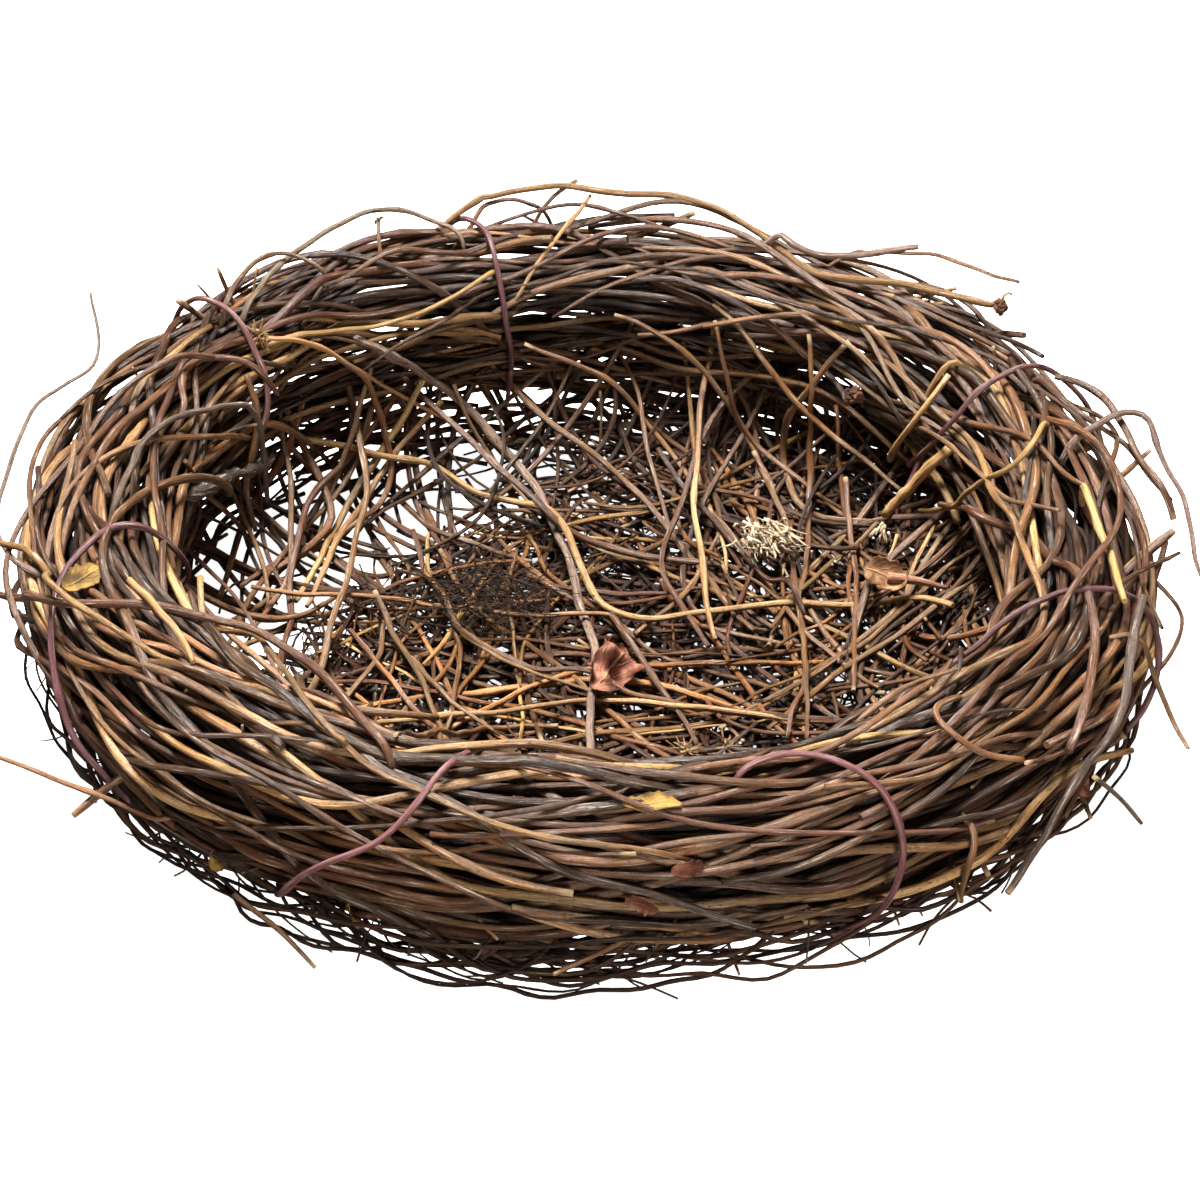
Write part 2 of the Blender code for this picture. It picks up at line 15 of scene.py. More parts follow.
import bmesh
import bpy
import numpy as np
from mathutils import Matrix, Vector, noise
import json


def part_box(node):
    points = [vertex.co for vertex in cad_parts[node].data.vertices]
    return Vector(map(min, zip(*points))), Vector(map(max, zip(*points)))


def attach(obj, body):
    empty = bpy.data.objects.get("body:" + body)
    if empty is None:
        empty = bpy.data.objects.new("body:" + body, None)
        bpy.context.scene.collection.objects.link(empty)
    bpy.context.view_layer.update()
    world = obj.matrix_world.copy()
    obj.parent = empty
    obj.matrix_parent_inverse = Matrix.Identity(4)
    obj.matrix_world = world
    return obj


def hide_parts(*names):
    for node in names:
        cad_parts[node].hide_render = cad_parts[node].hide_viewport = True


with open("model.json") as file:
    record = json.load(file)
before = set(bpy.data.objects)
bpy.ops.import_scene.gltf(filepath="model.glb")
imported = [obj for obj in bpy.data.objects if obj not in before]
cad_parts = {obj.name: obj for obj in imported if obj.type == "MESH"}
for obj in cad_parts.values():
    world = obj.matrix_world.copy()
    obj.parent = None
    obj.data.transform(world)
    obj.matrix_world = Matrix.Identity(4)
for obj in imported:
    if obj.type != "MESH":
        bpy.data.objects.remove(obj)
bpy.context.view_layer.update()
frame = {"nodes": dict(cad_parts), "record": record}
MM = 0.001
TURN = 2 * math.pi

ring_low, ring_high = (np.array(corner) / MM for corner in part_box("coiled_vine_ring"))
RING_WIDTH = 20.0
RING_HEIGHT = ring_high[2] - ring_low[2]
RING_MIDDLE = (ring_high[2] + ring_low[2]) / 2
RING_RADIUS = (ring_high[0] - ring_low[0] - RING_WIDTH) / 2
print(f"ring radius {RING_RADIUS:.1f} mm, height {RING_HEIGHT:.1f} mm")

# %% [markdown]
# ## The camera
#
# The photograph was taken from the front, about 35 degrees above the table and so near
# that the front of the ring looks a third larger than the back. The numbers come from
# fitting a ring of this size to the outline of the nest in the picture.

# %% Camera
VIEW_ELEVATION = math.radians(35.34)
VIEW_ROLL = math.radians(2.83)
VIEW_DISTANCE = 440.0
VIEW_SIDESTEP = 1.4
VIEW_LIFT = 13.69
FOCAL_PIXELS = 3193.0
PICTURE_SIDE = 1200.0
SENSOR_WIDTH = 36.0

backwards = Vector((0, -math.cos(VIEW_ELEVATION), math.sin(VIEW_ELEVATION)))
upwards = Vector((0, math.sin(VIEW_ELEVATION), math.cos(VIEW_ELEVATION)))
sideways = Vector((1, 0, 0))
bpy.ops.object.camera_add()
camera = bpy.context.object
camera.data.sensor_width = SENSOR_WIDTH
camera.data.lens = SENSOR_WIDTH * FOCAL_PIXELS / PICTURE_SIDE
camera.data.clip_start = 0.01
axes = Matrix((sideways, upwards, backwards)).transposed()
view_turn = axes @ Matrix.Rotation(VIEW_ROLL, 3, "Z")
camera.rotation_euler = view_turn.to_euler()
camera.location = MM * (
    VIEW_DISTANCE * backwards + VIEW_SIDESTEP * sideways + VIEW_LIFT * upwards
)
bpy.context.scene.camera = camera
print(f"camera {camera.location.length:.3f} m from the nest")

# %% [markdown]
# ## Shader maths as plain expressions
#
# A material here is a page of arithmetic on colours and numbers, which is hard to read as
# a list of nodes and links. This small class wraps a socket, so that a * b adds a Math
# node. One method adds any other node by its type, settings and inputs.


# %% Socket arithmetic
class Term:
    """One output socket, with arithmetic that adds the nodes that it needs."""

    def __init__(self, tree, socket):
        self.tree, self.socket = tree, socket

    def node(self, kind, settings=None, output=0, **inputs):
        """One output of a new node. An input goes by its name, or by its number as in _0."""
        made = self.tree.nodes.new(kind)
        for name, value in (settings or {}).items():
            setattr(made, name, value)
        for name, value in inputs.items():
            key = int(name[1:]) if name[0] == "_" else name.replace("_", " ")
            if isinstance(value, Term):
                self.tree.links.new(value.socket, made.inputs[key])
            else:
                made.inputs[key].default_value = value
        return Term(self.tree, made.outputs[output])

    def math(self, operation, *values):
        """The result of a new Math node for these values."""
        inputs = {f"_{i}": value for i, value in enumerate(values)}
        return self.node("ShaderNodeMath", {"operation": operation}, **inputs)

    def __add__(self, other):
        return self.math("ADD", self, other)

    def __sub__(self, other):
        return self.math("SUBTRACT", self, other)

    def __rsub__(self, other):
        return self.math("SUBTRACT", other, self)

    def __mul__(self, other):
        return self.math("MULTIPLY", self, other)

    __radd__, __rmul__ = __add__, __mul__

    def clamp(self, low=0.0, high=1.0):
        """The value, held between low and high."""
        return self.math("MAXIMUM", self.math("MINIMUM", self, high), low)

    def between(self, low, high):
        """0 below low, 1 above high and a smooth step in between."""
        return self.node(
            "ShaderNodeMapRange", {"interpolation_type": "SMOOTHSTEP"},
            Value=self, From_Min=low, From_Max=high,
        )

    def ramp(self, stops):
        """A colour for each value: stops are (place, (r, g, b))."""
        made = self.tree.nodes.new("ShaderNodeValToRGB")
        band = made.color_ramp
        while len(band.elements) < len(stops):
            band.elements.new(0.5)
        for element, (place, colour) in zip(band.elements, stops):
            element.position = place
            element.color = (*colour, 1.0)
        self.tree.links.new(self.socket, made.inputs[0])
        return Term(self.tree, made.outputs[0])

    def mix(self, colour, factor, how="MIX"):
        """This colour with another laid over it by the factor."""
        made = self.tree.nodes.new("ShaderNodeMix")
        made.data_type, made.blend_type = "RGBA", how
        for index, value in ((0, factor), (6, self), (7, colour)):
            if isinstance(value, Term):
                self.tree.links.new(value.socket, made.inputs[index])
            elif index == 0:
                made.inputs[index].default_value = value
            else:
                made.inputs[index].default_value = (*value, 1.0)
        return Term(self.tree, made.outputs[2])


def start_material(name):
    """A new material, its Principled shader and a Term to build from."""
    material = bpy.data.materials.new(name)
    material.use_nodes = True
    shader = material.node_tree.nodes["Principled BSDF"]
    return material, shader, Term(material.node_tree, None)


def connect(term, shader, socket):
    """Links a term to one of the shader's inputs."""
    term.tree.links.new(term.socket, shader.inputs[socket])


# %% [markdown]
# ## Bark
#
# A dry vine is brown, but no two vines are the same brown, and each changes along its
# length. Its bark has fine grooves that run along it, paler ridges that are partly worn bark
# and partly painted sheen, small dark spots and, at a cut end, pale wood. The pattern must
# follow the vine round its bends, so the tubes carry four attributes. Grain is (distance
# along, cosine and sine of the angle around), tone is one number for the whole vine, the
# painted shade darkens places deep in the bundle or the mat, low on the ring, at the back
# and in the ring's shadow, and tip is 1 at a cut end. The tone gives the brown, and its
# later digits give the hue, which leans to red on some vines and to green on others.


# %% Bark material
def vine_bark(name, stops, groove=0.6, rough=0.46, spots=0.7, gloss=0.35, tint=0.7):
    """A material for tubes. The stops give the vine's colour by its tone."""
    material, shader, page = start_material(name)
    grain = page.node("ShaderNodeAttribute", {"attribute_name": "grain"}, output=1)
    tone = page.node("ShaderNodeAttribute", {"attribute_name": "tone"}, output=2)
    depth = page.node("ShaderNodeAttribute", {"attribute_name": "depth"}, output=2)
    tip = page.node("ShaderNodeAttribute", {"attribute_name": "tip"}, output=2)

    def stretched(along, around, offset):
        """The place on the vine, scaled along and around it and moved by the vine's tone."""
        apart = page.node("ShaderNodeCombineXYZ", X=tone * 371.0 + offset, Y=tone * 87.0)
        scaled = page.node(
            "ShaderNodeVectorMath", {"operation": "MULTIPLY"}, _0=grain,
            _1=(along, around, around),
        )
        return page.node("ShaderNodeVectorMath", {"operation": "ADD"}, _0=scaled, _1=apart)

    def noise_at(vector, detail):
        """A noise at this place, from 0 to 1."""
        return page.node("ShaderNodeTexNoise", Vector=vector, Scale=1.0, Detail=detail)

    patches = noise_at(stretched(0.055, 0.25, 3.0), 2.0)
    streaks = noise_at(stretched(0.22, 2.2, 17.0), 3.0)
    grooves = noise_at(stretched(0.5, 5.5, 41.0), 2.0)
    specks = noise_at(stretched(1.9, 2.6, 59.0), 1.0)
    colour = (tone * 0.8 + (patches - 0.5) * 0.8 + 0.1).clamp().ramp(stops)
    hue = page.math("FRACT", tone * 37.0)
    colour = colour.mix((1.0, 0.8, 0.84), hue.between(0.6, 0.9) * tint, "MULTIPLY")
    colour = colour.mix((0.88, 0.97, 0.78), (1.0 - hue).between(0.6, 0.9) * tint, "MULTIPLY")
    # Pale streaks, partly worn bark and partly a painted sheen along the vine, and darker streaks
    # between them.
    light = (streaks - 0.5) * 1.1 + (grooves - 0.5) * 0.7 * groove
    colour = colour.mix((1.0, 0.9, 0.74), light.between(0.04, 0.4) * 0.38, "SCREEN")
    colour = colour.mix((0.32, 0.2, 0.13), (0.0 - light).between(0.0, 0.32), "MULTIPLY")
    colour = colour.mix((0.3, 0.2, 0.15), specks.between(0.58, 0.7) * spots, "MULTIPLY")
    # Painted shade: the shade attribute darkens places deep in the bundle or the mat, low on the
    # ring, at the back and in the ring's shadow.
    colour = colour.mix((0.13, 0.05, 0.022), depth, "MULTIPLY")
    colour = colour.mix((0.42, 0.3, 0.17), tip)
    connect(colour, shader, "Base Color")
    roughness = rough + (streaks - 0.5) * 0.3 + specks.between(0.6, 0.7) * 0.1
    connect(roughness.clamp(), shader, "Roughness")
    height = grooves * groove + streaks * 0.5 - specks.between(0.6, 0.75) * 0.25
    bump = page.node("ShaderNodeBump", Height=height, Strength=0.9, Distance=0.28 * MM)
    connect(bump, shader, "Normal")
    shader.inputs["Specular IOR Level"].default_value = gloss
    return material


# Browns of the long vines, by tone.
COIL_BROWNS = [
    (0.0, (0.018, 0.008, 0.004)),
    (0.17, (0.044, 0.018, 0.008)),
    (0.32, (0.098, 0.041, 0.016)),
    (0.45, (0.094, 0.044, 0.025)),
    (0.57, (0.17, 0.073, 0.024)),
    (0.68, (0.13, 0.074, 0.038)),
    (0.83, (0.29, 0.15, 0.056)),
    (1.0, (0.47, 0.3, 0.135)),
]
coil_bark = vine_bark("coil_bark", COIL_BROWNS, rough=0.44, gloss=0.42)
print("bark", len(coil_bark.node_tree.nodes), "nodes")

# %% [markdown]
# ## Many vines in one mesh
#
# A strand is a list of points in millimetres with a radius at each. Round every point goes
# a ring of corners, set square to the strand by carrying one side direction along it, and
# neighbouring rings are joined by four-sided faces. A tube primitive for each vine would
# also work, but thousands of operator calls take minutes. So the corners and faces of all
# strands are worked out as arrays and given to one mesh.


# %% A strand
class Strand:
    """One vine: its points and radii in millimetres, and what its bark looks like."""

    def __init__(self, points, radii, tone, depth=0.0, tips=(0.0, 0.0)):
        self.points = np.asarray(points, float)
        self.radii = np.broadcast_to(np.asarray(radii, float), len(self.points)).copy()
        self.tone = tone
        self.depth = np.broadcast_to(np.asarray(depth, float), len(self.points))
        self.tips = tips


# %% Lines of points
def travelled(points):
    """The distance along a line of points, at each point."""
    steps = np.linalg.norm(np.diff(points, axis=0), axis=1)
    return np.concatenate([[0.0], steps.cumsum()])


def curve_through(points, spacing):
    """Evenly spaced points on a Catmull-Rom curve through the given ones."""
    points = np.asarray(points, float)
    ends = np.vstack([2 * points[0] - points[1], points, 2 * points[-1] - points[-2]])
    t = np.linspace(0, 1, 8, endpoint=False)[None, :, None]
    p0, p1, p2, p3 = (ends[i : len(ends) - 3 + i, None] for i in range(4))
    fine = 0.5 * (
        2 * p1 + (p2 - p0) * t + (2 * p0 - 5 * p1 + 4 * p2 - p3) * t**2
        + (3 * p1 - p0 - 3 * p2 + p3) * t**3
    )
    fine = np.vstack([fine.reshape(-1, points.shape[1]), points[-1:]])
    length = travelled(fine)
    wanted = np.linspace(0, length[-1], max(3, round(length[-1] / spacing) + 1))
    return np.stack([np.interp(wanted, length, fine[:, k]) for k in range(fine.shape[1])], 1)


# %% Corners of the tubes
OVAL = 0.07
DENTS = 0.03


def corner_rings(strands, sides, rng):
    """The corners of every strand's rings, one array (points, sides, 3) for each strand."""
    counts = [len(strand.points) for strand in strands]
    line = np.stack([
        np.pad(strand.points, ((0, max(counts) - count), (0, 0)), mode="edge")
        for strand, count in zip(strands, counts)
    ])
    ahead = np.concatenate([line[:, 1:], line[:, -1:]], axis=1)
    behind = np.concatenate([line[:, :1], line[:, :-1]], axis=1)
    along = ahead - behind
    size = np.linalg.norm(along, axis=2, keepdims=True)
    for k in range(1, line.shape[1]):
        still = size[:, k, 0] < 1e-9
        along[still, k] = along[still, k - 1]
        size[still, k] = size[still, k - 1]
    along /= size
    side = np.cross(along[:, 0], rng.normal(size=(len(strands), 3)))
    rings = []
    for k in range(line.shape[1]):
        side = side - (side * along[:, k]).sum(1, keepdims=True) * along[:, k]
        side /= np.linalg.norm(side, axis=1, keepdims=True)
        rings.append(side)
    side = np.stack(rings, axis=1)
    other = np.cross(along, side)
    angle = np.arange(sides) * TURN / sides
    found = []
    for i, (strand, count) in enumerate(zip(strands, counts)):
        oval = 1 + OVAL * np.cos(2 * angle + rng.uniform(0, TURN))
        oval = oval + rng.uniform(-DENTS, DENTS, sides)
        out = (
            side[i, :count, None] * np.cos(angle)[:, None]
            + other[i, :count, None] * np.sin(angle)[:, None]
        )
        found.append(strand.points[:, None] + out * (strand.radii[:, None] * oval)[..., None])
    return found


# %% [markdown]
# ## The bake map
#
# When the materials are baked, every part of the surface needs a place of its own in a
# picture. Unwrapping thousands of tubes takes long and wastes room, but a tube is easy to
# lay flat: each strand is cut open along one side and lies in a strip, with its two round
# ends beside it. The strips fill the square in rows, one after another.


# %% Strips for the bake
STRIP_SHARE = 0.94
CAP_STEPS = (1.5, 2.1)
CAP_LIFT = 2.2
CAP_ROOM = 6
MARGIN = 0.002


def strip_places(lengths, height):
    """Where each strand's strip goes in the map, and the side of the square they fill."""
    row_width = max(1.02 * max(lengths), math.sqrt((lengths * height).sum()) * 1.06)
    places, x, y = [], 0.0, 0.0
    for length in lengths:
        if x + length > row_width:
            x, y = 0.0, y + height
        places.append((x, y))
        x += length
    return places, max(row_width, y + height)


def strip_map(along, sides, widest, x, y):
    """Map places for the side faces of a strand and for its first and last cap."""
    u = x + along
    v = y + STRIP_SHARE * TURN * widest * np.arange(sides + 1) / sides
    low, high = np.broadcast_arrays(u[:-1, None], v[None, :-1])
    far, top = np.broadcast_arrays(u[1:, None], v[None, 1:])
    around = [(low, high), (low, top), (far, top), (far, high)]
    faces = np.stack([np.stack(pair, -1) for pair in around], 2).reshape(-1, 2)
    angle = np.arange(sides) * TURN / sides
    cap = widest * np.stack([np.cos(angle), np.sin(angle)], 1)
    middle = (x + along[-1] + CAP_STEPS[0] * widest, y + CAP_LIFT * widest)
    return [faces, (cap + middle)[::-1], cap + (middle[0] + CAP_STEPS[1] * widest, middle[1])]


# %% Tubes from arrays
def mesh_from_arrays(name, corners, loops, sizes):
    """A mesh from corner places in millimetres and each face's corners and their number."""
    mesh = bpy.data.meshes.new(name)
    mesh.vertices.add(len(corners))
    mesh.vertices.foreach_set("co", (corners * MM).ravel().astype(np.float32))
    mesh.loops.add(len(loops))
    mesh.loops.foreach_set("vertex_index", loops.astype(np.int32))
    mesh.polygons.add(len(sizes))
    starts = np.concatenate([[0], sizes.cumsum()[:-1]])
    mesh.polygons.foreach_set("loop_start", starts.astype(np.int32))
    mesh.polygons.foreach_set("loop_total", sizes.astype(np.int32))
    mesh.update(calc_edges=True)
    return mesh


def tube_mesh(name, strands, sides, material, seed=1):
    """All the strands as closed tubes in one mesh object, with their attributes and map."""
    rings = corner_rings(strands, sides, np.random.default_rng(seed))
    angle = np.arange(sides) * TURN / sides
    widest = np.array([strand.radii.max() for strand in strands])
    lengths = np.array([travelled(strand.points)[-1] for strand in strands]) + CAP_ROOM * widest
    places, span = strip_places(lengths, TURN * widest.max())
    corners, loops, sizes, uvs = [], [], [], []
    looks = {"grain": [], "tone": [], "depth": [], "tip": []}
    first = 0
    for strand, ring, (x, y) in zip(strands, rings, places):
        count = len(ring)
        along = travelled(strand.points)
        index = first + np.arange(count * sides).reshape(count, sides)
        ahead = np.roll(index, -1, axis=1)
        quads = np.stack([index[:-1], ahead[:-1], ahead[1:], index[1:]], axis=-1)
        corners.append(ring.reshape(-1, 3))
        loops += [quads.reshape(-1), index[0, ::-1], index[-1]]
        sizes += [np.full((count - 1) * sides, 4), [sides], [sides]]
        uvs += strip_map(along, sides, widest.max(), x, y)
        turned = np.tile(angle, count)
        looks["grain"] += [np.stack([np.repeat(along, sides), np.cos(turned), np.sin(turned)], 1)]
        looks["tone"] += [np.full(count * sides, strand.tone)]
        looks["depth"] += [np.repeat(strand.depth, sides)]
        looks["tip"] += [np.repeat([strand.tips[0], *[0.0] * (count - 2), strand.tips[1]], sides)]
        first += count * sides
    sizes = np.concatenate(sizes)
    mesh = mesh_from_arrays(name, np.concatenate(corners), np.concatenate(loops), sizes)
    layer = mesh.uv_layers.new(name="OFBake")
    places = np.concatenate(uvs) / span * (1 - 2 * MARGIN) + MARGIN
    layer.data.foreach_set("uv", places.ravel().astype(np.float32))
    for label, values in looks.items():
        kind, field = ("FLOAT_VECTOR", "vector") if label == "grain" else ("FLOAT", "value")
        attribute = mesh.attributes.new(label, kind, "POINT")
        attribute.data.foreach_set(field, np.concatenate(values).ravel().astype(np.float32))
    mesh.materials.append(material)
    piece = bpy.data.objects.new(name, mesh)
    bpy.context.scene.collection.objects.link(piece)
    mesh.polygons.foreach_set("use_smooth", sizes == 4)
    print(f"{name}: {len(strands)} strands, {int((sizes - 2).sum())} triangles")
    return piece


def finish_piece(piece, slot, *nodes):
    """Makes a piece ride with the nest and stand for its nodes."""
    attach(piece, "root")
    if nodes:
        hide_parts(*nodes)


# %% [markdown]
# ## How a vine varies
#
# A vine isn't an even pipe. It swells a little at the joints where leaves grew, thins
# towards its tip and wanders from side to side. Sums of a few sine waves with random
# lengths give that without any sharp corners.


# %% Natural variation
def wander(count, step, waves, rng):
    """A smooth random offset at each of count points. The waves are (length, height) in mm."""
    along = np.arange(count) * step
    offset = np.zeros(count)
    for length, height in waves:
        wave = TURN * along / (length * rng.uniform(0.7, 1.4)) + rng.uniform(0, TURN)
        offset += height * np.sin(wave)
    return offset


def wandering(points, step, waves, rng):
    """The points, each of their coordinates with a wander of its own."""
    return points + np.stack([wander(len(points), step, waves, rng) for _ in points.T], 1)


def vine_radii(points, radius, rng, thin_start=0.85, thin_end=0.7, taper=12.0):
    """The radius at each point: thinner at the ends, with small swellings at the joints."""
    along = travelled(points)
    radii = radius * (1 + 0.06 * np.sin(along / rng.uniform(4, 9) + rng.uniform(0, TURN)))
    joint = rng.uniform(4, 20)
    while joint < along[-1]:
        radii += radius * rng.uniform(0.08, 0.36) * np.exp(-(((along - joint) / 1.2) ** 2))
        joint += rng.uniform(14, 34)
    radii *= np.interp(along, [0, taper], [thin_start, 1])
    return radii * np.interp(along, [along[-1] - taper, along[-1]], [1, thin_end])


# %% [markdown]
# ## Coiling the ring
#
# Each vine starts somewhere in the ring's round section and runs round the nest, drifting
# slowly through the section as it goes. Vines that are only placed at random pass through
# each other. So the ring is cut into slices, and in every slice vines that overlap push
# each other apart, a little at a time. The pushes are smoothed along each vine, because a
# vine is stiff, and a vine that leaves the ring's outline is pulled back in. The last ones
# laid on are wilder: they cross the others at a slant and stand off the ring in places.

# %% Loose vines
SLICES = 136
SLICE_STEP = TURN * RING_RADIUS / SLICES
COIL_COUNT = 128
WILD_SHARE = 0.55
WILD_WAVES = [(110, 2.6), (52, 1.2), (24, 0.34)]
CALM_WAVES = [(110, 1.6), (52, 0.8), (24, 0.2)]
WILD_DRIFT, CALM_DRIFT = 0.024, 0.009
THICK_RADII, THIN_RADII = (0.42, 0.62), (0.28, 0.42)
THICK_SHARE, THIN_SHARE = 0.68, 0.32
RING_HALF = np.array([RING_WIDTH, RING_HEIGHT]) / 2


def node_turn(node):
    """The angle round the nest at which a node lies."""
    low, high = (np.array(corner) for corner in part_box(node))
    return math.atan2(low[1] + high[1], low[0] + high[0])


tie_names = sorted(name for name in frame["nodes"] if name.startswith("binding_vine"))
tie_turns = np.array([node_turn(name) for name in tie_names])
print("ties at", np.degrees(tie_turns).round())


def tie_distance(turn):
    """The angle from each place to the nearest tie, in radians."""
    away = np.abs((turn[:, None] - tie_turns + math.pi) % TURN - math.pi)
    return away.min(axis=1)


def loose_coils(rng):
    """The vines before packing: (first slice, places in the section, radius, looseness)."""
    coils = []
    wanted = COIL_COUNT * SLICES
    while wanted > 0:
        wild = rng.uniform() < WILD_SHARE
        count = int(rng.uniform(24, 100) if wild else rng.uniform(50, 190))
        wanted -= count
        first = int(rng.integers(SLICES))
        reach = rng.uniform(0.88, 1.0) if wild else 0.97 * math.sqrt(rng.uniform(0, 1))
        along = np.arange(count) * SLICE_STEP
        turn = rng.uniform(0, TURN) + rng.normal(0, WILD_DRIFT if wild else CALM_DRIFT) * along
        free = tie_distance((first + np.arange(count)) * TURN / SLICES)
        swell = np.sin(math.pi * np.arange(count) / count * rng.integers(1, 4)) ** 2
        loose = rng.uniform(0, 1) ** 2 * 0.5 * swell * np.clip(free / 0.25, 0, 1) * wild
        across = reach * RING_HALF[0] * np.cos(turn) * (1 + loose)
        up = reach * RING_HALF[1] * np.sin(turn) * (1 + loose)
        waves = WILD_WAVES if wild else CALM_WAVES
        section = wandering(np.stack([across, up], 1), SLICE_STEP, waves, rng)
        radii = rng.uniform(*THICK_RADII), rng.uniform(*THIN_RADII)
        radius = rng.choice(radii, p=(THICK_SHARE, THIN_SHARE))
        coils.append((first, section, radius, 1 + loose))
    return coils


# %% Pack the bundle
PACKING_ROUNDS = 60
VINE_GAP = 0.02
PUSH_SHARE = 0.45


def pack(coils):
    """Pushes overlapping vines apart in every slice and keeps them in the ring's outline."""
    owner = np.concatenate([np.full(len(coil[1]), i) for i, coil in enumerate(coils)])
    where = np.concatenate([(coil[0] + np.arange(len(coil[1]))) % SLICES for coil in coils])
    points = np.concatenate([coil[1] for coil in coils]).astype(np.float32)
    radii = np.array([coil[2] for coil in coils], np.float32)[owner]
    loose = np.concatenate([coil[3] for coil in coils]).astype(np.float32)
    last = len(points)
    before = np.maximum(np.arange(last) - 1, 0)
    after = np.minimum(np.arange(last) + 1, last - 1)
    before = np.where(owner[before] == owner, before, np.arange(last))
    after = np.where(owner[after] == owner, after, np.arange(last))
    most = np.bincount(where, minlength=SLICES).max()
    members = np.full((SLICES, most), last)
    filled = np.zeros(SLICES, int)
    for i, place in enumerate(where):
        members[place, filled[place]] = i
        filled[place] += 1
    far_away = np.float32(1e4) * (1 + np.arange(SLICES * most).reshape(SLICES, most))
    empty = members == last
    reach = np.append(radii, 0)[members]
    room = reach[:, :, None] + reach[:, None, :] + VINE_GAP
    at_start = points.copy()
    half = (RING_HALF * loose[:, None] - radii[:, None]).astype(np.float32)
    for _ in range(PACKING_ROUNDS):
        spots = np.vstack([points, [[0, 0]]]).astype(np.float32)[members]
        spots[empty, 0] = far_away[empty]
        apart = spots[:, :, None] - spots[:, None, :]
        distance = np.sqrt((apart**2).sum(-1)) + 1e-6
        overlap = np.clip(room - distance, 0, None)
        overlap[:, np.arange(most), np.arange(most)] = 0
        push = (apart * (PUSH_SHARE * overlap / distance)[..., None]).sum(2)
        moved = np.zeros((last + 1, 2), np.float32)
        moved[members.ravel()] = push.reshape(-1, 2)
        points = points + moved[:-1]
        # A stiff vine shares each push with the places before and after it.
        change = points - at_start
        change = 0.4 * change + 0.3 * (change[before] + change[after])
        points = at_start + change
        # A place outside the ring's outline is drawn back part of the way.
        outside = np.hypot(*(points / half).T)
        points /= np.maximum(1.0, 0.4 + 0.6 * outside)[:, None]
    print(f"packed {len(coils)} vines, mean overlap left {overlap[overlap > 0].mean():.2f} mm")
    return [points[owner == i] for i in range(len(coils))]


# %% From the section to space
def ring_place(turn, section):
    """Points in space from angles round the nest and places (across, up) in the section."""
    out = RING_RADIUS + section[:, 0]
    return np.stack([out * np.cos(turn), out * np.sin(turn), RING_MIDDLE + section[:, 1]], 1)


def pale_tips(rng, share=0.06):
    """Which of a vine's two ends show pale cut wood."""
    return tuple((rng.uniform(0, 1, 2) < share).astype(float))


def stretches(keep, shortest):
    """Where a row of truth values stays true for at least so long, as slices."""
    edges = np.flatnonzero(np.diff(np.concatenate([[0], keep.astype(int), [0]])))
    return [slice(*pair) for pair in edges.reshape(-1, 2) if pair[1] - pair[0] >= shortest]


# %% The coiled vines
# Low on the inside at the back the bundle is open: most vines are left out there.
OPEN_TURN, OPEN_SPAN, OPEN_SHARE = 98.0, 50.0, 0.16
SHORTEST_PART = 9
# An end that lies so far out in the section springs out, at most so many mm over so many slices.
SPRINGY, SPRING_LIFT, SPRING_SLICES = 0.7, 5.0, 7.0


def coil_painted_shade(turn, section, outness, rng):
    """How much painted shade each place of a coiled vine gets: inside the bundle, low on the ring
    and over its upper side at the back.
    """
    height = section[:, 1] / RING_HALF[1]
    # Painted shade: deep in the bundle, on the ring's lower side, and on its upper side at the back.
    back = np.clip(1.5 * np.sin(turn), 0, 1)
    inner = np.clip(3.5 - 3.85 * outness, 0, 0.82)
    below = np.clip(-0.2 - 1.1 * height, 0, 0.6) * (1 - 0.6 * back)
    dark = np.maximum(inner, below * rng.choice([1.0, 0.25], p=[0.8, 0.2]))
    return dark + (1 - dark) * 0.3 * back * np.clip(0.5 + 1.2 * height, 0, 1)


def coil_strands(rng):
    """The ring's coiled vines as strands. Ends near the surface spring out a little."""
    coils = loose_coils(rng)
    strands = []
    for (first, _, radius, _), section in zip(coils, pack(coils)):
        count = len(section)
        turn = (first + np.arange(count)) * TURN / SLICES
        outward = section / RING_HALF
        outness = np.hypot(*outward.T)
        outward /= np.maximum(outness, 0.2)[:, None]
        for end in (np.arange(count), np.arange(count)[::-1]):
            if outness[end[0]] < SPRINGY:
                continue
            bend = np.clip(1 - end / SPRING_SLICES, 0, 1) ** 2
            spring = rng.uniform(0, 1) ** 2 * SPRING_LIFT * bend
            section = section + outward * spring[:, None]
        dark = coil_painted_shade(turn, section, outness, rng)
        tone = float(rng.beta(1.0, 1.5))
        low = section[:, 1] < -0.6 - 0.3 * section[:, 0] + rng.normal(0, 1.6)
        behind = np.cos(turn - math.radians(OPEN_TURN)) > math.cos(math.radians(OPEN_SPAN))
        keep = ~(low & behind) | (rng.uniform() < OPEN_SHARE)
        for part in stretches(keep, SHORTEST_PART):
            line = curve_through(ring_place(turn[part], section[part]), 2.1)
            places = np.linspace(0, 1, len(line)), np.linspace(0, 1, len(dark[part]))
            thick = vine_radii(line, radius, rng)
            strands.append(Strand(line, thick, tone, np.interp(*places, dark[part]), pale_tips(rng)))
    return strands


coils = coil_strands(np.random.default_rng(15))

# %% The ring's pieces, from the outermost vines to the innermost
LAYERS = 4
FINE_LAYERS = 2
# The vines with the least painted shade count as the outermost.
outermost = sorted(coils, key=lambda strand: strand.depth.mean())
for number in range(LAYERS):
    share = outermost[number * len(coils) // LAYERS : (number + 1) * len(coils) // LAYERS]
    sides = 8 if number < FINE_LAYERS else 6
    layer = tube_mesh(f"coiled_vines_{number + 1}", share, sides, coil_bark, seed=number)
    finish_piece(layer, "brown_vine", "coiled_vine_ring")

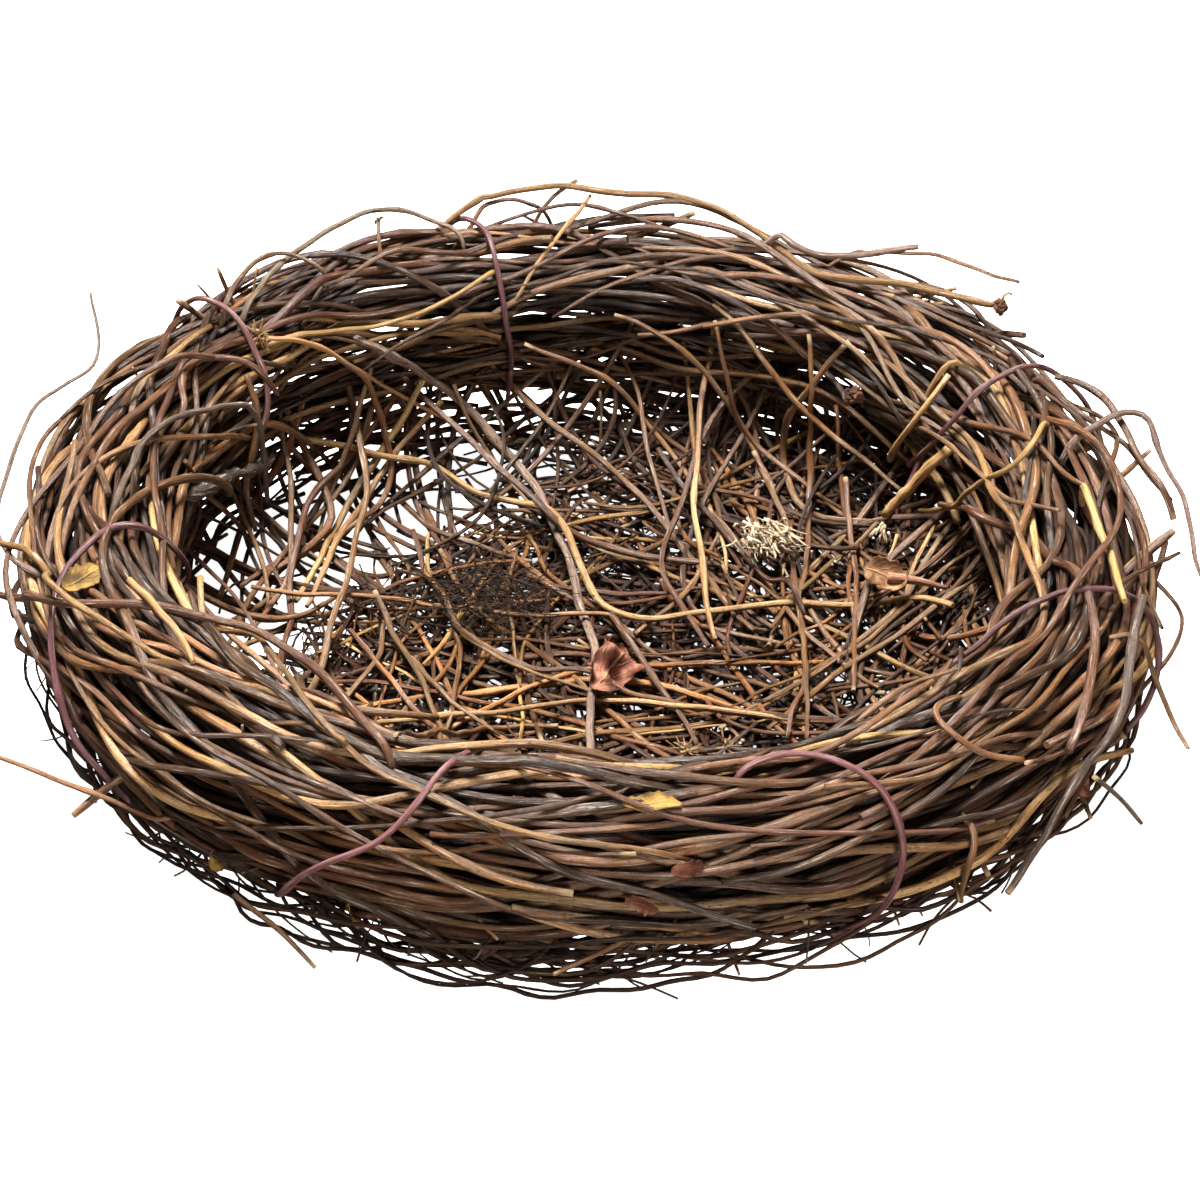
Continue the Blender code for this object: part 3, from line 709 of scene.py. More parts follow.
# %% [markdown]
# ## The bowl under the ring
#
# Seen from the side the nest is a shallow bowl. Its floor is flat, and its wall slopes out
# and up into the ring. One curve from the middle of the floor to the middle of the ring's
# section is all that the wall and the floor need: a place on the bowl is then an angle
# round the nest, a way along the curve and a lift off it.

# %% Bowl profile
# Distance from the middle and height of the points that the curve goes through.
BOWL_PROFILE = [
    (0, 4.6), (22, 4.4), (40, 4.4), (48, 5.2), (54, 9.0), (59.5, 14.0), (63, 19.5), (65.5, 26.0),
]
profile = curve_through(BOWL_PROFILE, 1.0)
profile_way = travelled(profile)
uphill = np.gradient(profile, axis=0)
uphill /= np.linalg.norm(uphill, axis=1, keepdims=True)
inward = np.stack([-uphill[:, 1], uphill[:, 0]], 1)
RIM_RADIUS = 62.5
RIM_WAY = float(np.interp(RIM_RADIUS, profile[:, 0], profile_way))
print(f"along the bowl from its middle to the ring {RIM_WAY:.0f} mm")

# The mat's edge: its distance from the middle at some angles. It stops short at the back.
MAT_TURNS = [-90, -30, 60, 80, 95, 110, 135, 160, 190, 225, 270]
MAT_EDGES = [48, 50, 50, 47, 40, 35, 33, 34, 41, 46, 48]


def mat_reach(turn):
    """How far out the twig mat goes at an angle in radians."""
    degrees = (np.degrees(turn) + 90) % 360 - 90
    return np.interp(degrees, MAT_TURNS, MAT_EDGES)


def bowl_points(turn, way, lift):
    """Points at these angles, ways along the profile and lifts off it."""
    out, up = (
        np.interp(way, profile_way, profile[:, k]) + lift * np.interp(way, profile_way, inward[:, k])
        for k in range(2)
    )
    return np.stack([out * np.cos(turn), out * np.sin(turn), up], 1)


# %% [markdown]
# ## The open weave
#
# The wall is hardly there: thin vines, mostly dark in tone and darkened more by painted
# shade, run round it, swing up to the ring and down to the floor again, and light shows
# through between them. It could be one lattice, but the real one has no pattern. So each
# kind of vine has a short function that draws its route at random, either along the bowl's
# profile or round the ring's section.


# %% Vines that run round the wall
WALL_RADIUS = 56.0
WALL_STEP = 2.4


def thin_vine(points, spacing, radii, tones, painted_shades, rng, tips=0.1):
    """A strand through the points. Its radius, tone and painted shade are drawn from their ranges.
    """
    line = curve_through(points, spacing)
    thick = vine_radii(line, rng.uniform(*radii), rng)
    tone = rng.uniform(*tones)
    depth = rng.uniform(*painted_shades) if isinstance(painted_shades, tuple) else painted_shades
    return Strand(line, thick, tone, depth, pale_tips(rng, tips) if tips else (0.0, 0.0))


def swinging_vine(rng):
    """A thin vine that goes up and down the wall while it runs round the nest."""
    span, step = rng.uniform(0.5, 1.9), 2.0
    count = int(span * WALL_RADIUS / step)
    turn = rng.uniform(0, TURN) + np.linspace(0, span, count)
    swing = TURN * turn / rng.uniform(0.45, 1.3) + rng.uniform(0, TURN)
    low = mat_reach(turn) + rng.uniform(-3, 4)
    way = (low + RIM_WAY) / 2 + (RIM_WAY - low) / 2 * np.sin(swing)
    way = way + wander(count, step, [(40, 1.6), (15, 0.7)], rng)
    lift = wander(count, step, [(50, 1.3), (20, 0.5)], rng) - 0.4
    return thin_vine(bowl_points(turn, way, lift), 2.2, (0.24, 0.48), (0.0, 0.7), 0.3, rng)


def level_route(turn, way, drift, waves, lift_wave, lift, rng):
    """Points that run round the wall at nearly one height, a little higher at one end."""
    count = len(turn)
    way = way + rng.uniform(-drift, drift) * np.linspace(-1, 1, count)
    way = way + wander(count, WALL_STEP, waves, rng)
    return bowl_points(turn, way, wander(count, WALL_STEP, [lift_wave], rng) + lift)


def hoop_vine(rng):
    """A vine that runs round the wall, mostly close under the ring."""
    span = rng.uniform(0.5, 2.0)
    turn = rng.uniform(0, TURN) + np.linspace(0, span, int(span * WALL_RADIUS / WALL_STEP))
    way = RIM_WAY + 1 - 13 * rng.uniform(0, 1) ** 1.25
    route = level_route(turn, way, 3.5, [(90, 2.0), (34, 1.0)], (50, 1.4), -0.8, rng)
    return thin_vine(route, 2.2, (0.25, 0.52), (0.0, 0.8), (0.1, 0.65), rng)


def wall_vine(rng, low, high):
    """A vine darkened by painted shade that runs along the wall near the mat's edge, between two
    angles.
    """
    span = rng.uniform(0.35, 1.0)
    count = int(span * WALL_RADIUS / WALL_STEP)
    turn = math.radians(rng.uniform(low, high)) + np.linspace(-span / 2, span / 2, count)
    way = rng.uniform(46, RIM_WAY - 3)
    route = level_route(turn, way, 6, [(60, 2.0), (24, 1.0)], (40, 1.2), -0.6, rng)
    return thin_vine(route, 2.2, (0.22, 0.46), (0.0, 0.6), (0.5, 0.9), rng)


# %% Vines that run round the ring's section
SKIRT_STEP = 2.2


def section_route(turn, around, out, waves, step, rng):
    """Points round the nest at these angles and shares of the way out in the ring's section."""
    section = out[:, None] * RING_HALF * np.stack([np.cos(around), np.sin(around)], 1)
    return ring_place(turn, wandering(section, step, waves, rng))


def back_hoop(rng):
    """A thin vine with some painted shade, low on the inside of the ring at the back."""
    span = rng.uniform(0.4, 1.5)
    count = int(span * WALL_RADIUS / WALL_STEP)
    turn = math.radians(rng.normal(OPEN_TURN, 30)) + np.linspace(-span / 2, span / 2, count)
    section = np.array([rng.uniform(-8, 4), rng.uniform(-10.5, -2)]) + np.zeros((count, 2))
    section[:, 1] += rng.normal(0, 2.2) * np.linspace(-1, 1, count)
    section = wandering(section, WALL_STEP, [(60, 1.6), (24, 0.7)], rng)
    return thin_vine(ring_place(turn, section), 2.2, (0.2, 0.42), (0.0, 0.9), (0.0, 0.5), rng)


def sagging_loop(rng):
    """A thin vine that hangs loose under the ring's outside, mostly at the front."""
    span = rng.uniform(0.3, 1.1)
    count = max(8, int(span * 68 / SKIRT_STEP))
    start = rng.uniform(3.2, 6.1) if rng.uniform() < 0.7 else rng.uniform(0, TURN)
    turn = start + np.linspace(0, span, count)
    around = rng.uniform(-1.7, -0.6) + rng.normal(0, 0.35) * np.linspace(-1, 1, count)
    out = 0.93 + rng.uniform(0.08, 0.46) * np.sin(np.linspace(0, math.pi, count)) ** 0.8
    route = section_route(turn, around, out, [(30, 0.7), (12, 0.3)], SKIRT_STEP, rng)
    return thin_vine(route, 2.0, (0.18, 0.4), (0.0, 0.6), 0.5, rng)


def skirt_turn(rng):
    """An angle where the loose net under the ring shows: more of them at the left front."""
    left = rng.uniform() < 0.62
    return math.radians(rng.uniform(188, 275) if left else rng.uniform(250, 350))


def net_vine(rng):
    """A thin dark vine, darkened more by painted shade, that runs loose along the ring's lower
    outside edge.
    """
    span = rng.uniform(0.3, 1.0)
    count = max(8, int(span * 70 / SKIRT_STEP))
    turn = skirt_turn(rng) + np.linspace(-span / 2, span / 2, count)
    around = math.radians(rng.normal(-57, 7)) + rng.normal(0, 0.15) * np.linspace(-1, 1, count)
    out = 0.98 + rng.uniform(0.18, 0.52) * np.sin(np.linspace(0, math.pi, count)) ** 0.5
    route = section_route(turn, around, out, [(28, 0.9), (12, 0.4)], SKIRT_STEP, rng)
    return thin_vine(route, 1.8, (0.13, 0.3), (0.0, 0.3), 0.8, rng, 0.05)


def net_link(rng):
    """A short curled vine between the ring and the loose ones under it."""
    count = 7
    turn = skirt_turn(rng) + np.linspace(0, rng.normal(0, 0.13), count)
    around = math.radians(rng.normal(-55, 8)) + rng.normal(0, 0.2) * np.linspace(0, 1, count)
    out = np.linspace(0.9, rng.uniform(1.3, 1.6), count)
    route = section_route(turn, around, out, [(9, 0.5)], 1.5, rng)
    return thin_vine(route, 1.2, (0.12, 0.24), (0.0, 0.4), 0.7, rng, 0)


# %% Draw the wall's vines
# How many of each kind, and for the ones along the wall, which get heavy painted shade, the angles
# that they lie between.
WALL_PLAN = [
    (swinging_vine, 36), (hoop_vine, 124), (net_vine, 38), (net_link, 44),
    (wall_vine, 84, -20, 92), (wall_vine, 44, 0, 45), (wall_vine, 44, 30, 92),
    (wall_vine, 20, 95, 165), (sagging_loop, 56), (back_hoop, 52),
]
rng = np.random.default_rng(27)
wall = [draw(rng, *angles) for draw, count, *angles in WALL_PLAN for _ in range(count)]
print(len(wall), "thin vines in the wall")

# %% [markdown]
# ## Vines that hang into the bowl
#
# Straighter vines hang from the ring into the bowl: dark steep ones all round, pale ones at
# the back left, brown ones on the right and some at the front. Each is a straight line that
# is bowed to one side and sags. Where it would go through the bowl it is lifted, by a soft
# maximum, so that it bends along the surface without a kink.

# %% A draped vine
DRAPE_STEP = 4
SOFTNESS = 1.2
CLEARANCE = 0.8
LARGEST_BOW = 0.3


def draped_vine(start, end, radius, tone, rng, sag=0.12, bow=0.12, depth=0.0):
    """A vine laid across the bowl from one place on its side to another.

    A place is (angle in degrees, way, lift).
    """
    first, last = (
        bowl_points(np.radians([turn]), np.array([way]), np.array([lift]))[0]
        for turn, way, lift in (start, end)
    )
    length = np.linalg.norm(last - first)
    t = np.linspace(0, 1, max(6, int(length / DRAPE_STEP)))[:, None]
    share = np.clip(rng.normal(0, bow), -LARGEST_BOW, LARGEST_BOW)
    aside = np.cross(last - first, (0, 0, 1.0)) * share
    line = first + (last - first) * t + aside * np.sin(math.pi * t)
    line[:, 2] -= 4 * sag * length * (t * (1 - t))[:, 0] * rng.uniform(0.3, 1)
    line = wandering(line, DRAPE_STEP, [(45, 0.9), (18, 0.25)], rng)
    ground = np.interp(np.hypot(line[:, 0], line[:, 1]), profile[:, 0], profile[:, 1]) + CLEARANCE
    line[:, 2] = SOFTNESS * np.logaddexp(line[:, 2] / SOFTNESS, ground / SOFTNESS)
    line = curve_through(line, 2.0)
    return Strand(line, vine_radii(line, radius, rng), tone, depth, pale_tips(rng, 0.2))


def steep_vine(rng):
    """A thin dark vine with painted shade that hangs from the ring down to the mat's edge."""
    turn = rng.uniform(-150, 120) if rng.uniform() < 0.5 else rng.uniform(10, 95)
    start = (turn, rng.uniform(RIM_WAY - 2, RIM_WAY + 3), rng.uniform(-1, 1))
    aside = np.clip(rng.normal(0, 40), -50, 50)
    end = (turn + aside, float(mat_reach(math.radians(turn))) + rng.uniform(-5, 3), 0)
    thin = rng.uniform(0.2, 0.42)
    return draped_vine(start, end, thin, rng.uniform(0, 0.5), rng, bow=0.3, depth=0.55)


# %% Hang them in the bowl
# Each family: how many, start angles, end angles, start ways, end ways, radii and tones.
FAMILIES = [
    (7, (110, 140), (158, 205), (RIM_WAY, 72), (40, 54), (0.38, 0.6), (0.4, 1.0)),
    (7, (165, 225), (150, 225), (RIM_WAY, 73), (34, 50), (0.3, 0.52), (0.1, 0.9)),
    (7, (140, 188), (150, 205), (RIM_WAY, 73), (42, 54), (0.22, 0.42), (0.1, 0.7)),
    (5, (66, 122), (15, 60), (RIM_WAY, 73), (24, 46), (0.3, 0.5), (0.2, 1.0)),
    (4, (50, 100), (110, 170), (RIM_WAY, 73), (36, 50), (0.28, 0.42), (0.1, 0.7)),
    (10, (22, 80), (-35, 40), (RIM_WAY, 74), (16, 46), (0.34, 0.6), (0.1, 0.95)),
    (11, (-40, 30), (-30, 60), (RIM_WAY, 74), (28, 50), (0.3, 0.55), (0.1, 0.95)),
    (12, (215, 320), (200, 330), (RIM_WAY - 4, 72), (30, 48), (0.4, 0.6), (0.2, 0.8)),
]
STEEP_VINES = 80
wall += [steep_vine(rng) for _ in range(STEEP_VINES)]
draped = []
for count, starts, ends, start_ways, end_ways, radii, tones in FAMILIES:
    for _ in range(count):
        start = (rng.uniform(*starts), rng.uniform(*start_ways), rng.uniform(0, 2.5))
        end = (rng.uniform(*ends), rng.uniform(*end_ways), rng.uniform(0, 2.0))
        draped.append(draped_vine(start, end, rng.uniform(*radii), rng.uniform(*tones), rng))

weave_bark = vine_bark("weave_bark", COIL_BROWNS, rough=0.75)
finish_piece(tube_mesh("woven_wall", wall, 6, weave_bark, seed=5), "dark_weave", "open_weave_wall")
finish_piece(tube_mesh("draped_vines", draped, 6, coil_bark, seed=6), "brown_vine")

# %% [markdown]
# ## The twig floor
#
# The floor is a felt of short twigs and rootlets that were dropped in and trodden down.
# Each twig is drawn in plan as a slightly curved line and then lowered onto the pile. The
# pile is kept as a grid of heights: a twig rests on the highest of what lies under it, and
# the cells it covers grow by its thickness.


# %% A pile of twigs
class Pile:
    """The height of the heap of twigs, in a grid of square cells."""

    CELL, SIDE = 1.0, 140
    SINK, GROWTH = 0.6, 0.3
    BED_RADII = [44, 48, 54, 60, 64]
    BED_HEIGHTS = [0.14, 1.2, 6.0, 12.0, 17.0]

    def __init__(self):
        steps = (np.arange(self.SIDE) + 0.5) * self.CELL - self.SIDE * self.CELL / 2
        out = np.hypot(*np.meshgrid(steps, steps, indexing="ij"))
        self.height = np.interp(out, self.BED_RADII, self.BED_HEIGHTS)

    def cells(self, plan):
        """The grid's row and column under each point of a plan."""
        place = ((plan + self.SIDE * self.CELL / 2) / self.CELL).astype(int)
        return tuple(np.clip(place, 0, self.SIDE - 1).T)

    def level(self, plan):
        """How high the heap is under each point of a plan."""
        return self.height[self.cells(plan)]

    def rest(self, plan, radius, stiff):
        """Heights for a twig of this plan, after which the pile has grown by the twig."""
        cells = self.cells(plan)
        under = self.height[cells]
        over = np.pad(under, 2, mode="edge")
        over = np.max([over[k : k + len(plan)] for k in range(5)], axis=0)
        for _ in range(stiff):
            padded = np.pad(over, 1, mode="edge")
            over = 0.25 * padded[:-2] + 0.5 * over + 0.25 * padded[2:]
        up = over + self.SINK * np.clip(under - over, 0, None).max() + radius
        np.maximum.at(self.height, cells, up + self.GROWTH * radius)
        return up


# %% Drop a twig
TRIES = 6


def twig_plan(middle, heading, length, bend, rng):
    """A curved line in plan through the middle point, one point each 2 mm."""
    count = max(5, int(length / 2))
    turn = heading + bend * np.linspace(-0.5, 0.5, count) * length
    turn = turn + wander(count, 2, [(30, 0.16), (12, 0.1)], rng)
    plan = np.stack([np.cos(turn), np.sin(turn)], 1).cumsum(axis=0) * length / count
    return plan - plan.mean(axis=0) + middle


def twig_place(length, reach, arc, curl, rng):
    """A twig's plan somewhere on the mat. Near the edge most twigs lie along it.

    The reach is a share of the mat's edge, from and to.
    """
    turn = rng.uniform(*arc)
    out = mat_reach(turn) * math.sqrt(rng.uniform(reach[0] ** 2, reach[1] ** 2))
    middle = np.array([out * math.cos(turn), out * math.sin(turn)])
    heading = rng.uniform(0, TURN)
    if rng.uniform() < 0.6 * out / 45:
        heading = turn + math.pi / 2 + rng.normal(0, 0.3)
    plan = twig_plan(middle, heading, length, rng.normal(0, curl), rng)
    edge = mat_reach(np.arctan2(plan[:, 1], plan[:, 0])) * reach[1]
    beyond = (np.hypot(*plan.T) - edge).max() - 1
    return plan - middle / max(out, 1) * max(beyond, 0)


def pile_up(rng, count, reach, lengths, radii, tones, depth, arc=(0, TURN), curl=0.012, stiff=14):
    """Drops twigs onto the pile. Each takes the lowest of a few places."""
    strands = []
    for _ in range(count):
        length = rng.uniform(*lengths)
        tries = [twig_place(length, reach, arc, curl, rng) for _ in range(TRIES)]
        plan = min(tries, key=lambda plan: pile.level(plan).mean())
        radius = rng.uniform(*radii)
        up = pile.rest(plan, radius, stiff)
        ends = np.abs(np.linspace(-1, 1, len(plan))) ** 3
        up = up + ends * rng.uniform(0, 1) ** 3 * 3.0
        line = curve_through(np.column_stack([plan, up]), 2.2)
        thick = vine_radii(line, radius, rng, 0.8, rng.uniform(0.4, 0.9), length / 3)
        strands.append(Strand(line, thick, rng.uniform(*tones), depth, pale_tips(rng, 0.08)))
    return strands


# %% Fill the bowl
RIGHT = {"arc": (math.radians(-38), math.radians(72))}
ROOTY = {"curl": 0.09, "stiff": 4}
# The layers from the bottom: piece, count, reach, lengths, radii, tones, painted shade and habit.
# The painted shade is heaviest on the lowest layers, where the twigs lie in shade.
TWIG_LAYERS = [
    ("rootlets", 330, (0, 1.02), (10, 40), (0.12, 0.27), (0.0, 0.4), 0.97, ROOTY),
    ("vines", 100, (0, 1), (45, 90), (0.32, 0.52), (0.0, 0.5), 0.94, {"curl": 0.008, "stiff": 6}),
    ("rootlets", 240, (0, 1.04), (8, 30), (0.1, 0.2), (0.0, 0.7), 0.86, ROOTY),
    ("vines", 100, (0, 1), (30, 75), (0.26, 0.46), (0.0, 0.8), 0.84, {"stiff": 8}),
    ("twigs", 80, (0.93, 1.18), (18, 50), (0.26, 0.42), (0.0, 0.7), 0.72, RIGHT),
    ("twigs", 36, (0, 0.98), (40, 90), (0.26, 0.5), (0.05, 0.6), 0.35, {}),
    ("twigs", 36, (0, 0.98), (40, 90), (0.24, 0.46), (0.45, 0.95), 0.0, {}),
    ("twigs", 60, (0.9, 1.22), (22, 56), (0.26, 0.44), (0.1, 0.9), 0.15, RIGHT | {"stiff": 24}),
    ("twigs", 10, (0, 0.98), (10, 26), (0.2, 0.34), (0.3, 0.9), 0.0, {}),
    ("rootlets", 70, (0.8, 1.08), (10, 36), (0.12, 0.24), (0.0, 0.5), 0.8, ROOTY | {"curl": 0.06}),
    ("rootlets", 80, (0, 1.1), (7, 26), (0.08, 0.18), (0.0, 0.8), 0.4, ROOTY),
]
pile = Pile()
rng = np.random.default_rng(42)
heap = {"vines": [], "twigs": [], "rootlets": []}
for kind, *row, habit in TWIG_LAYERS:
    heap[kind] += pile_up(rng, *row, **habit)
print(f"the pile is {pile.level(np.zeros((1, 2)))[0]:.1f} mm high in the middle")

# %% The floor's pieces
# Browns of the floor's twigs, by tone.
MAT_BROWNS = [
    (0.0, (0.013, 0.005, 0.0015)),
    (0.2, (0.04, 0.015, 0.0045)),
    (0.38, (0.11, 0.041, 0.01)),
    (0.5, (0.096, 0.041, 0.015)),
    (0.62, (0.19, 0.077, 0.019)),
    (0.72, (0.13, 0.07, 0.027)),
    (0.86, (0.35, 0.17, 0.048)),
    (1.0, (0.58, 0.36, 0.14)),
]
mat_bark = vine_bark("mat_bark", MAT_BROWNS, gloss=0.26)
for kind, sides, seed in (("vines", 5, 7), ("twigs", 6, 8), ("rootlets", 4, 9)):
    piece = tube_mesh(f"floor_{kind}", heap[kind], sides, mat_bark, seed)
    finish_piece(piece, "twig_mat", "twig_lining")

# %% [markdown]
# ## Vines followed in the photograph
#
# Inside the bowl some long vines catch the eye, and they should lie where they lie in the
# picture. Each is followed by a few pixels of the photograph. A ray from the camera goes
# through each pixel, and the vine rests where that ray meets the ring, the bowl or the heap
# of twigs, so it is always carried by something.

# %% Follow a vine from the camera
START_LIFT, LIFT, END_LIFT = 1.0, 3.4, 1.4
# Distances from the camera at which a ray is tested.
ALONG_RAY = np.arange(360, 560, 0.4)


def seat(pixel, lift):
    """The place on the nest that the camera sees at a pixel, lifted towards the camera."""
    aside, down = np.array(pixel) - PICTURE_SIDE / 2
    way = np.array((view_turn @ Vector((aside, -down, -FOCAL_PIXELS))).normalized())
    ray = np.array(camera.location) / MM + ALONG_RAY[:, None] * way
    out = np.hypot(ray[:, 0], ray[:, 1])
    across = np.minimum(np.abs(out - RING_RADIUS) / RING_HALF[0], 1)
    crest = np.where(across < 1, RING_MIDDLE + RING_HALF[1] * np.sqrt(1 - across**2), 0)
    bowl = np.maximum(np.interp(out, profile[:, 0], profile[:, 1]), pile.level(ray[:, :2]))
    return ray[np.argmax(ray[:, 2] < np.maximum(crest, bowl))] - lift * way


def evened(line, rounds):
    """The line with its inner points drawn towards their neighbours' middles, so many times."""
    for _ in range(rounds):
        line[1:-1] = 0.5 * line[1:-1] + 0.25 * (line[:-2] + line[2:])
    return line


def followed_vine(radius, tone, pixels, rng):
    """A strand through the seats of the pixels. Its ends lie lower than the rest of it."""
    lifts = [START_LIFT] + [LIFT] * (len(pixels) - 2) + [END_LIFT]
    line = curve_through([seat(pixel, lift) for pixel, lift in zip(pixels, lifts)], 4.0)
    line = wandering(curve_through(evened(line, 2), 1.6), 1.6, [(22, 0.2), (9, 0.08)], rng)
    return Strand(line, vine_radii(line, radius, rng), tone, 0.0, pale_tips(rng, 0.3))


# %% The vines to follow
# Radius, tone and pixels of each vine.
FOLLOWED = {
    "grey fall": (0.45, 0.68, [
        (715, 305), (745, 330), (760, 360), (790, 395), (830, 435), (905, 492),
    ]),
    "red fall": (0.42, 0.57, [
        (615, 315), (650, 330), (685, 350), (715, 375), (730, 415), (755, 450), (772, 490),
        (792, 540), (796, 590), (800, 630), (808, 668), (805, 738),
    ]),
    "red branch": (0.36, 0.5, [
        (715, 320), (722, 365), (735, 415), (760, 450), (795, 478), (845, 512),
    ]),
    "right loop": (0.48, 0.6, [
        (850, 343), (805, 388), (783, 430), (782, 470), (798, 505), (830, 522), (885, 522),
    ]),
    "long fall": (0.42, 0.72, [
        (525, 345), (565, 358), (610, 380), (640, 405), (655, 435), (690, 480), (730, 535),
        (775, 595), (800, 625), (850, 672), (880, 690),
    ]),
    "mauve vine": (0.45, 0.47, [(600, 600), (615, 620), (640, 655), (670, 700), (697, 745)]),
    "twig over the leaf": (0.32, 0.85, [(575, 645), (605, 652), (640, 664)]),
    "red twig": (0.34, 0.5, [(525, 575), (560, 592), (600, 607)]),
    "back post": (0.3, 0.6, [(600, 392), (603, 430), (600, 462)]),
    "back slant": (0.36, 0.8, [(455, 385), (470, 425), (490, 460), (515, 490), (540, 512)]),
    "right post": (0.42, 0.55, [(807, 335), (815, 385), (807, 450), (811, 510), (800, 597)]),
    "second post": (0.4, 0.62, [(835, 405), (840, 470), (850, 540), (850, 600), (856, 640)]),
    "right slant": (0.38, 0.8, [(905, 420), (955, 448), (1000, 495), (1060, 512)]),
    "tan stick": (0.5, 0.88, [(947, 374), (920, 413), (890, 456)]),
    "orange post": (0.42, 0.95, [(937, 520), (915, 560), (905, 602)]),
    "left loop": (0.45, 0.75, [
        (340, 358), (370, 382), (386, 430), (394, 475), (380, 510), (340, 535), (300, 552),
        (270, 570), (240, 586),
    ]),
    "tan slant": (0.5, 0.95, [
        (425, 380), (395, 430), (365, 475), (335, 530), (310, 575), (295, 602),
    ]),
    "second slant": (0.48, 0.88, [
        (440, 400), (405, 440), (380, 478), (352, 515), (322, 575), (305, 605),
    ]),
    "third slant": (0.42, 0.8, [(372, 368), (360, 410), (345, 450), (330, 500), (318, 535)]),
    "dark vine": (0.42, 0.2, [(185, 460), (205, 490), (222, 512), (247, 533), (262, 552)]),
    "middle vine": (0.4, 0.3, [(400, 500), (430, 530), (470, 545), (530, 560)]),
    "green vine": (0.36, 0.35, [(525, 572), (550, 590), (600, 593), (660, 592), (705, 590)]),
    "thin vine": (0.28, 0.95, [
        (430, 525), (428, 575), (445, 612), (475, 645), (525, 670), (600, 694), (700, 706),
    ]),
    "front tan vine": (0.36, 0.9, [
        (400, 722), (450, 710), (500, 718), (535, 705), (600, 699), (680, 705), (750, 715),
        (850, 722),
    ]),
    "front mauve vine": (0.4, 0.5, [(560, 725), (475, 731), (395, 736)]),
    "floor twig a": (0.36, 0.85, [(700, 625), (750, 640), (800, 645), (852, 650)]),
    "floor twig b": (0.4, 0.85, [(635, 636), (665, 610), (700, 575), (722, 530)]),
    "floor twig c": (0.32, 0.9, [(580, 640), (610, 658), (642, 664)]),
    "floor twig d": (0.25, 0.8, [(516, 550), (506, 600), (518, 660), (520, 686)]),
    "floor twig e": (0.4, 0.75, [(385, 625), (375, 665), (345, 700)]),
    "floor twig f": (0.4, 0.7, [(350, 630), (370, 655), (400, 690), (430, 725), (450, 750)]),
    "floor twig g": (0.35, 0.6, [(455, 615), (460, 675), (445, 730)]),
    "floor twig h": (0.4, 1.0, [(370, 722), (415, 717), (460, 715)]),
    "floor twig i": (0.38, 0.8, [(395, 645), (430, 680), (475, 720), (500, 735)]),
    "floor twig j": (0.4, 0.7, [(705, 698), (742, 742)]),
}
rng = np.random.default_rng(49)
followed = [followed_vine(*row, rng) for row in FOLLOWED.values()]
print(len(followed), "vines followed in the photograph")
finish_piece(tube_mesh("followed_vines", followed, 8, coil_bark, seed=16), "brown_vine")

# %% [markdown]
# ## The vines with names
#
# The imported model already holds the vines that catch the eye, each as a plain tube of four
# or six sides. A tube's corners lie in rings, and the edges round a ring are much shorter
# than those along the tube. So the short edges gather the corners into rings, the rings'
# middles are the vine's line, and a smoother, knotty vine follows it.


# %% Read a tube back from its corners
RING_EDGE = 2.6


def tube_line(node):
    """A tube node's middle line with its radius, as rows of x, y, z, radius in millimetres."""
    shape = bmesh.new()
    shape.from_mesh(frame["nodes"][node].data)
    bmesh.ops.remove_doubles(shape, verts=shape.verts, dist=0.02 * MM)
    ring_of, rings = {}, []
    for start in shape.verts:
        waiting, ring = [start], []
        while waiting:
            corner = waiting.pop()
            if corner in ring_of:
                continue
            ring_of[corner] = len(rings)
            ring.append(corner)
            short = [edge for edge in corner.link_edges if edge.calc_length() < RING_EDGE * MM]
            waiting += [edge.other_vert(corner) for edge in short]
        if ring:
            rings.append(ring)
    near = [set() for _ in rings]
    for edge in shape.edges:
        first, second = (ring_of[corner] for corner in edge.verts)
        if first != second:
            near[first].add(second)
            near[second].add(first)
    order = [min(range(len(rings)), key=lambda i: len(near[i]))]
    while near[order[-1]] - set(order):
        order.append((near[order[-1]] - set(order)).pop())
    corners = [np.array([corner.co for corner in rings[i]]) / MM for i in order]
    shape.free()
    middles = np.array([ring.mean(axis=0) for ring in corners])
    radii = [np.linalg.norm(ring - middle, axis=1).mean() for ring, middle in zip(corners, middles)]
    line = np.column_stack([middles, radii])
    return line if line[0, 0] < line[-1, 0] else line[::-1]


# %% Barks for the named vines
def even_stops(*colours):
    """The stops of a colour ramp that passes these colours at even steps from 0 to 1."""
    return [(number / (len(colours) - 1), colour) for number, colour in enumerate(colours)]


PURPLES = even_stops((0.04, 0.015, 0.019), (0.11, 0.041, 0.047), (0.2, 0.085, 0.085))
GREYS = [
    (0.0, (0.045, 0.03, 0.024)), (0.35, (0.1, 0.068, 0.052)), (0.65, (0.17, 0.12, 0.09)),
    (1.0, (0.28, 0.19, 0.11)),
]
TANS = [
    (0.0, (0.12, 0.055, 0.022)), (0.35, (0.22, 0.115, 0.045)), (0.65, (0.32, 0.19, 0.08)),
    (1.0, (0.46, 0.3, 0.13)),
]
STRAWS = even_stops((0.17, 0.09, 0.035), (0.32, 0.19, 0.075), (0.52, 0.36, 0.17))
DARKS = even_stops((0.01, 0.007, 0.005), (0.034, 0.023, 0.017), (0.09, 0.062, 0.044))
PALES = even_stops((0.2, 0.13, 0.07), (0.58, 0.46, 0.3), (0.84, 0.76, 0.6))
WOODS = even_stops((0.26, 0.13, 0.045), (0.5, 0.3, 0.12), (0.78, 0.6, 0.36))
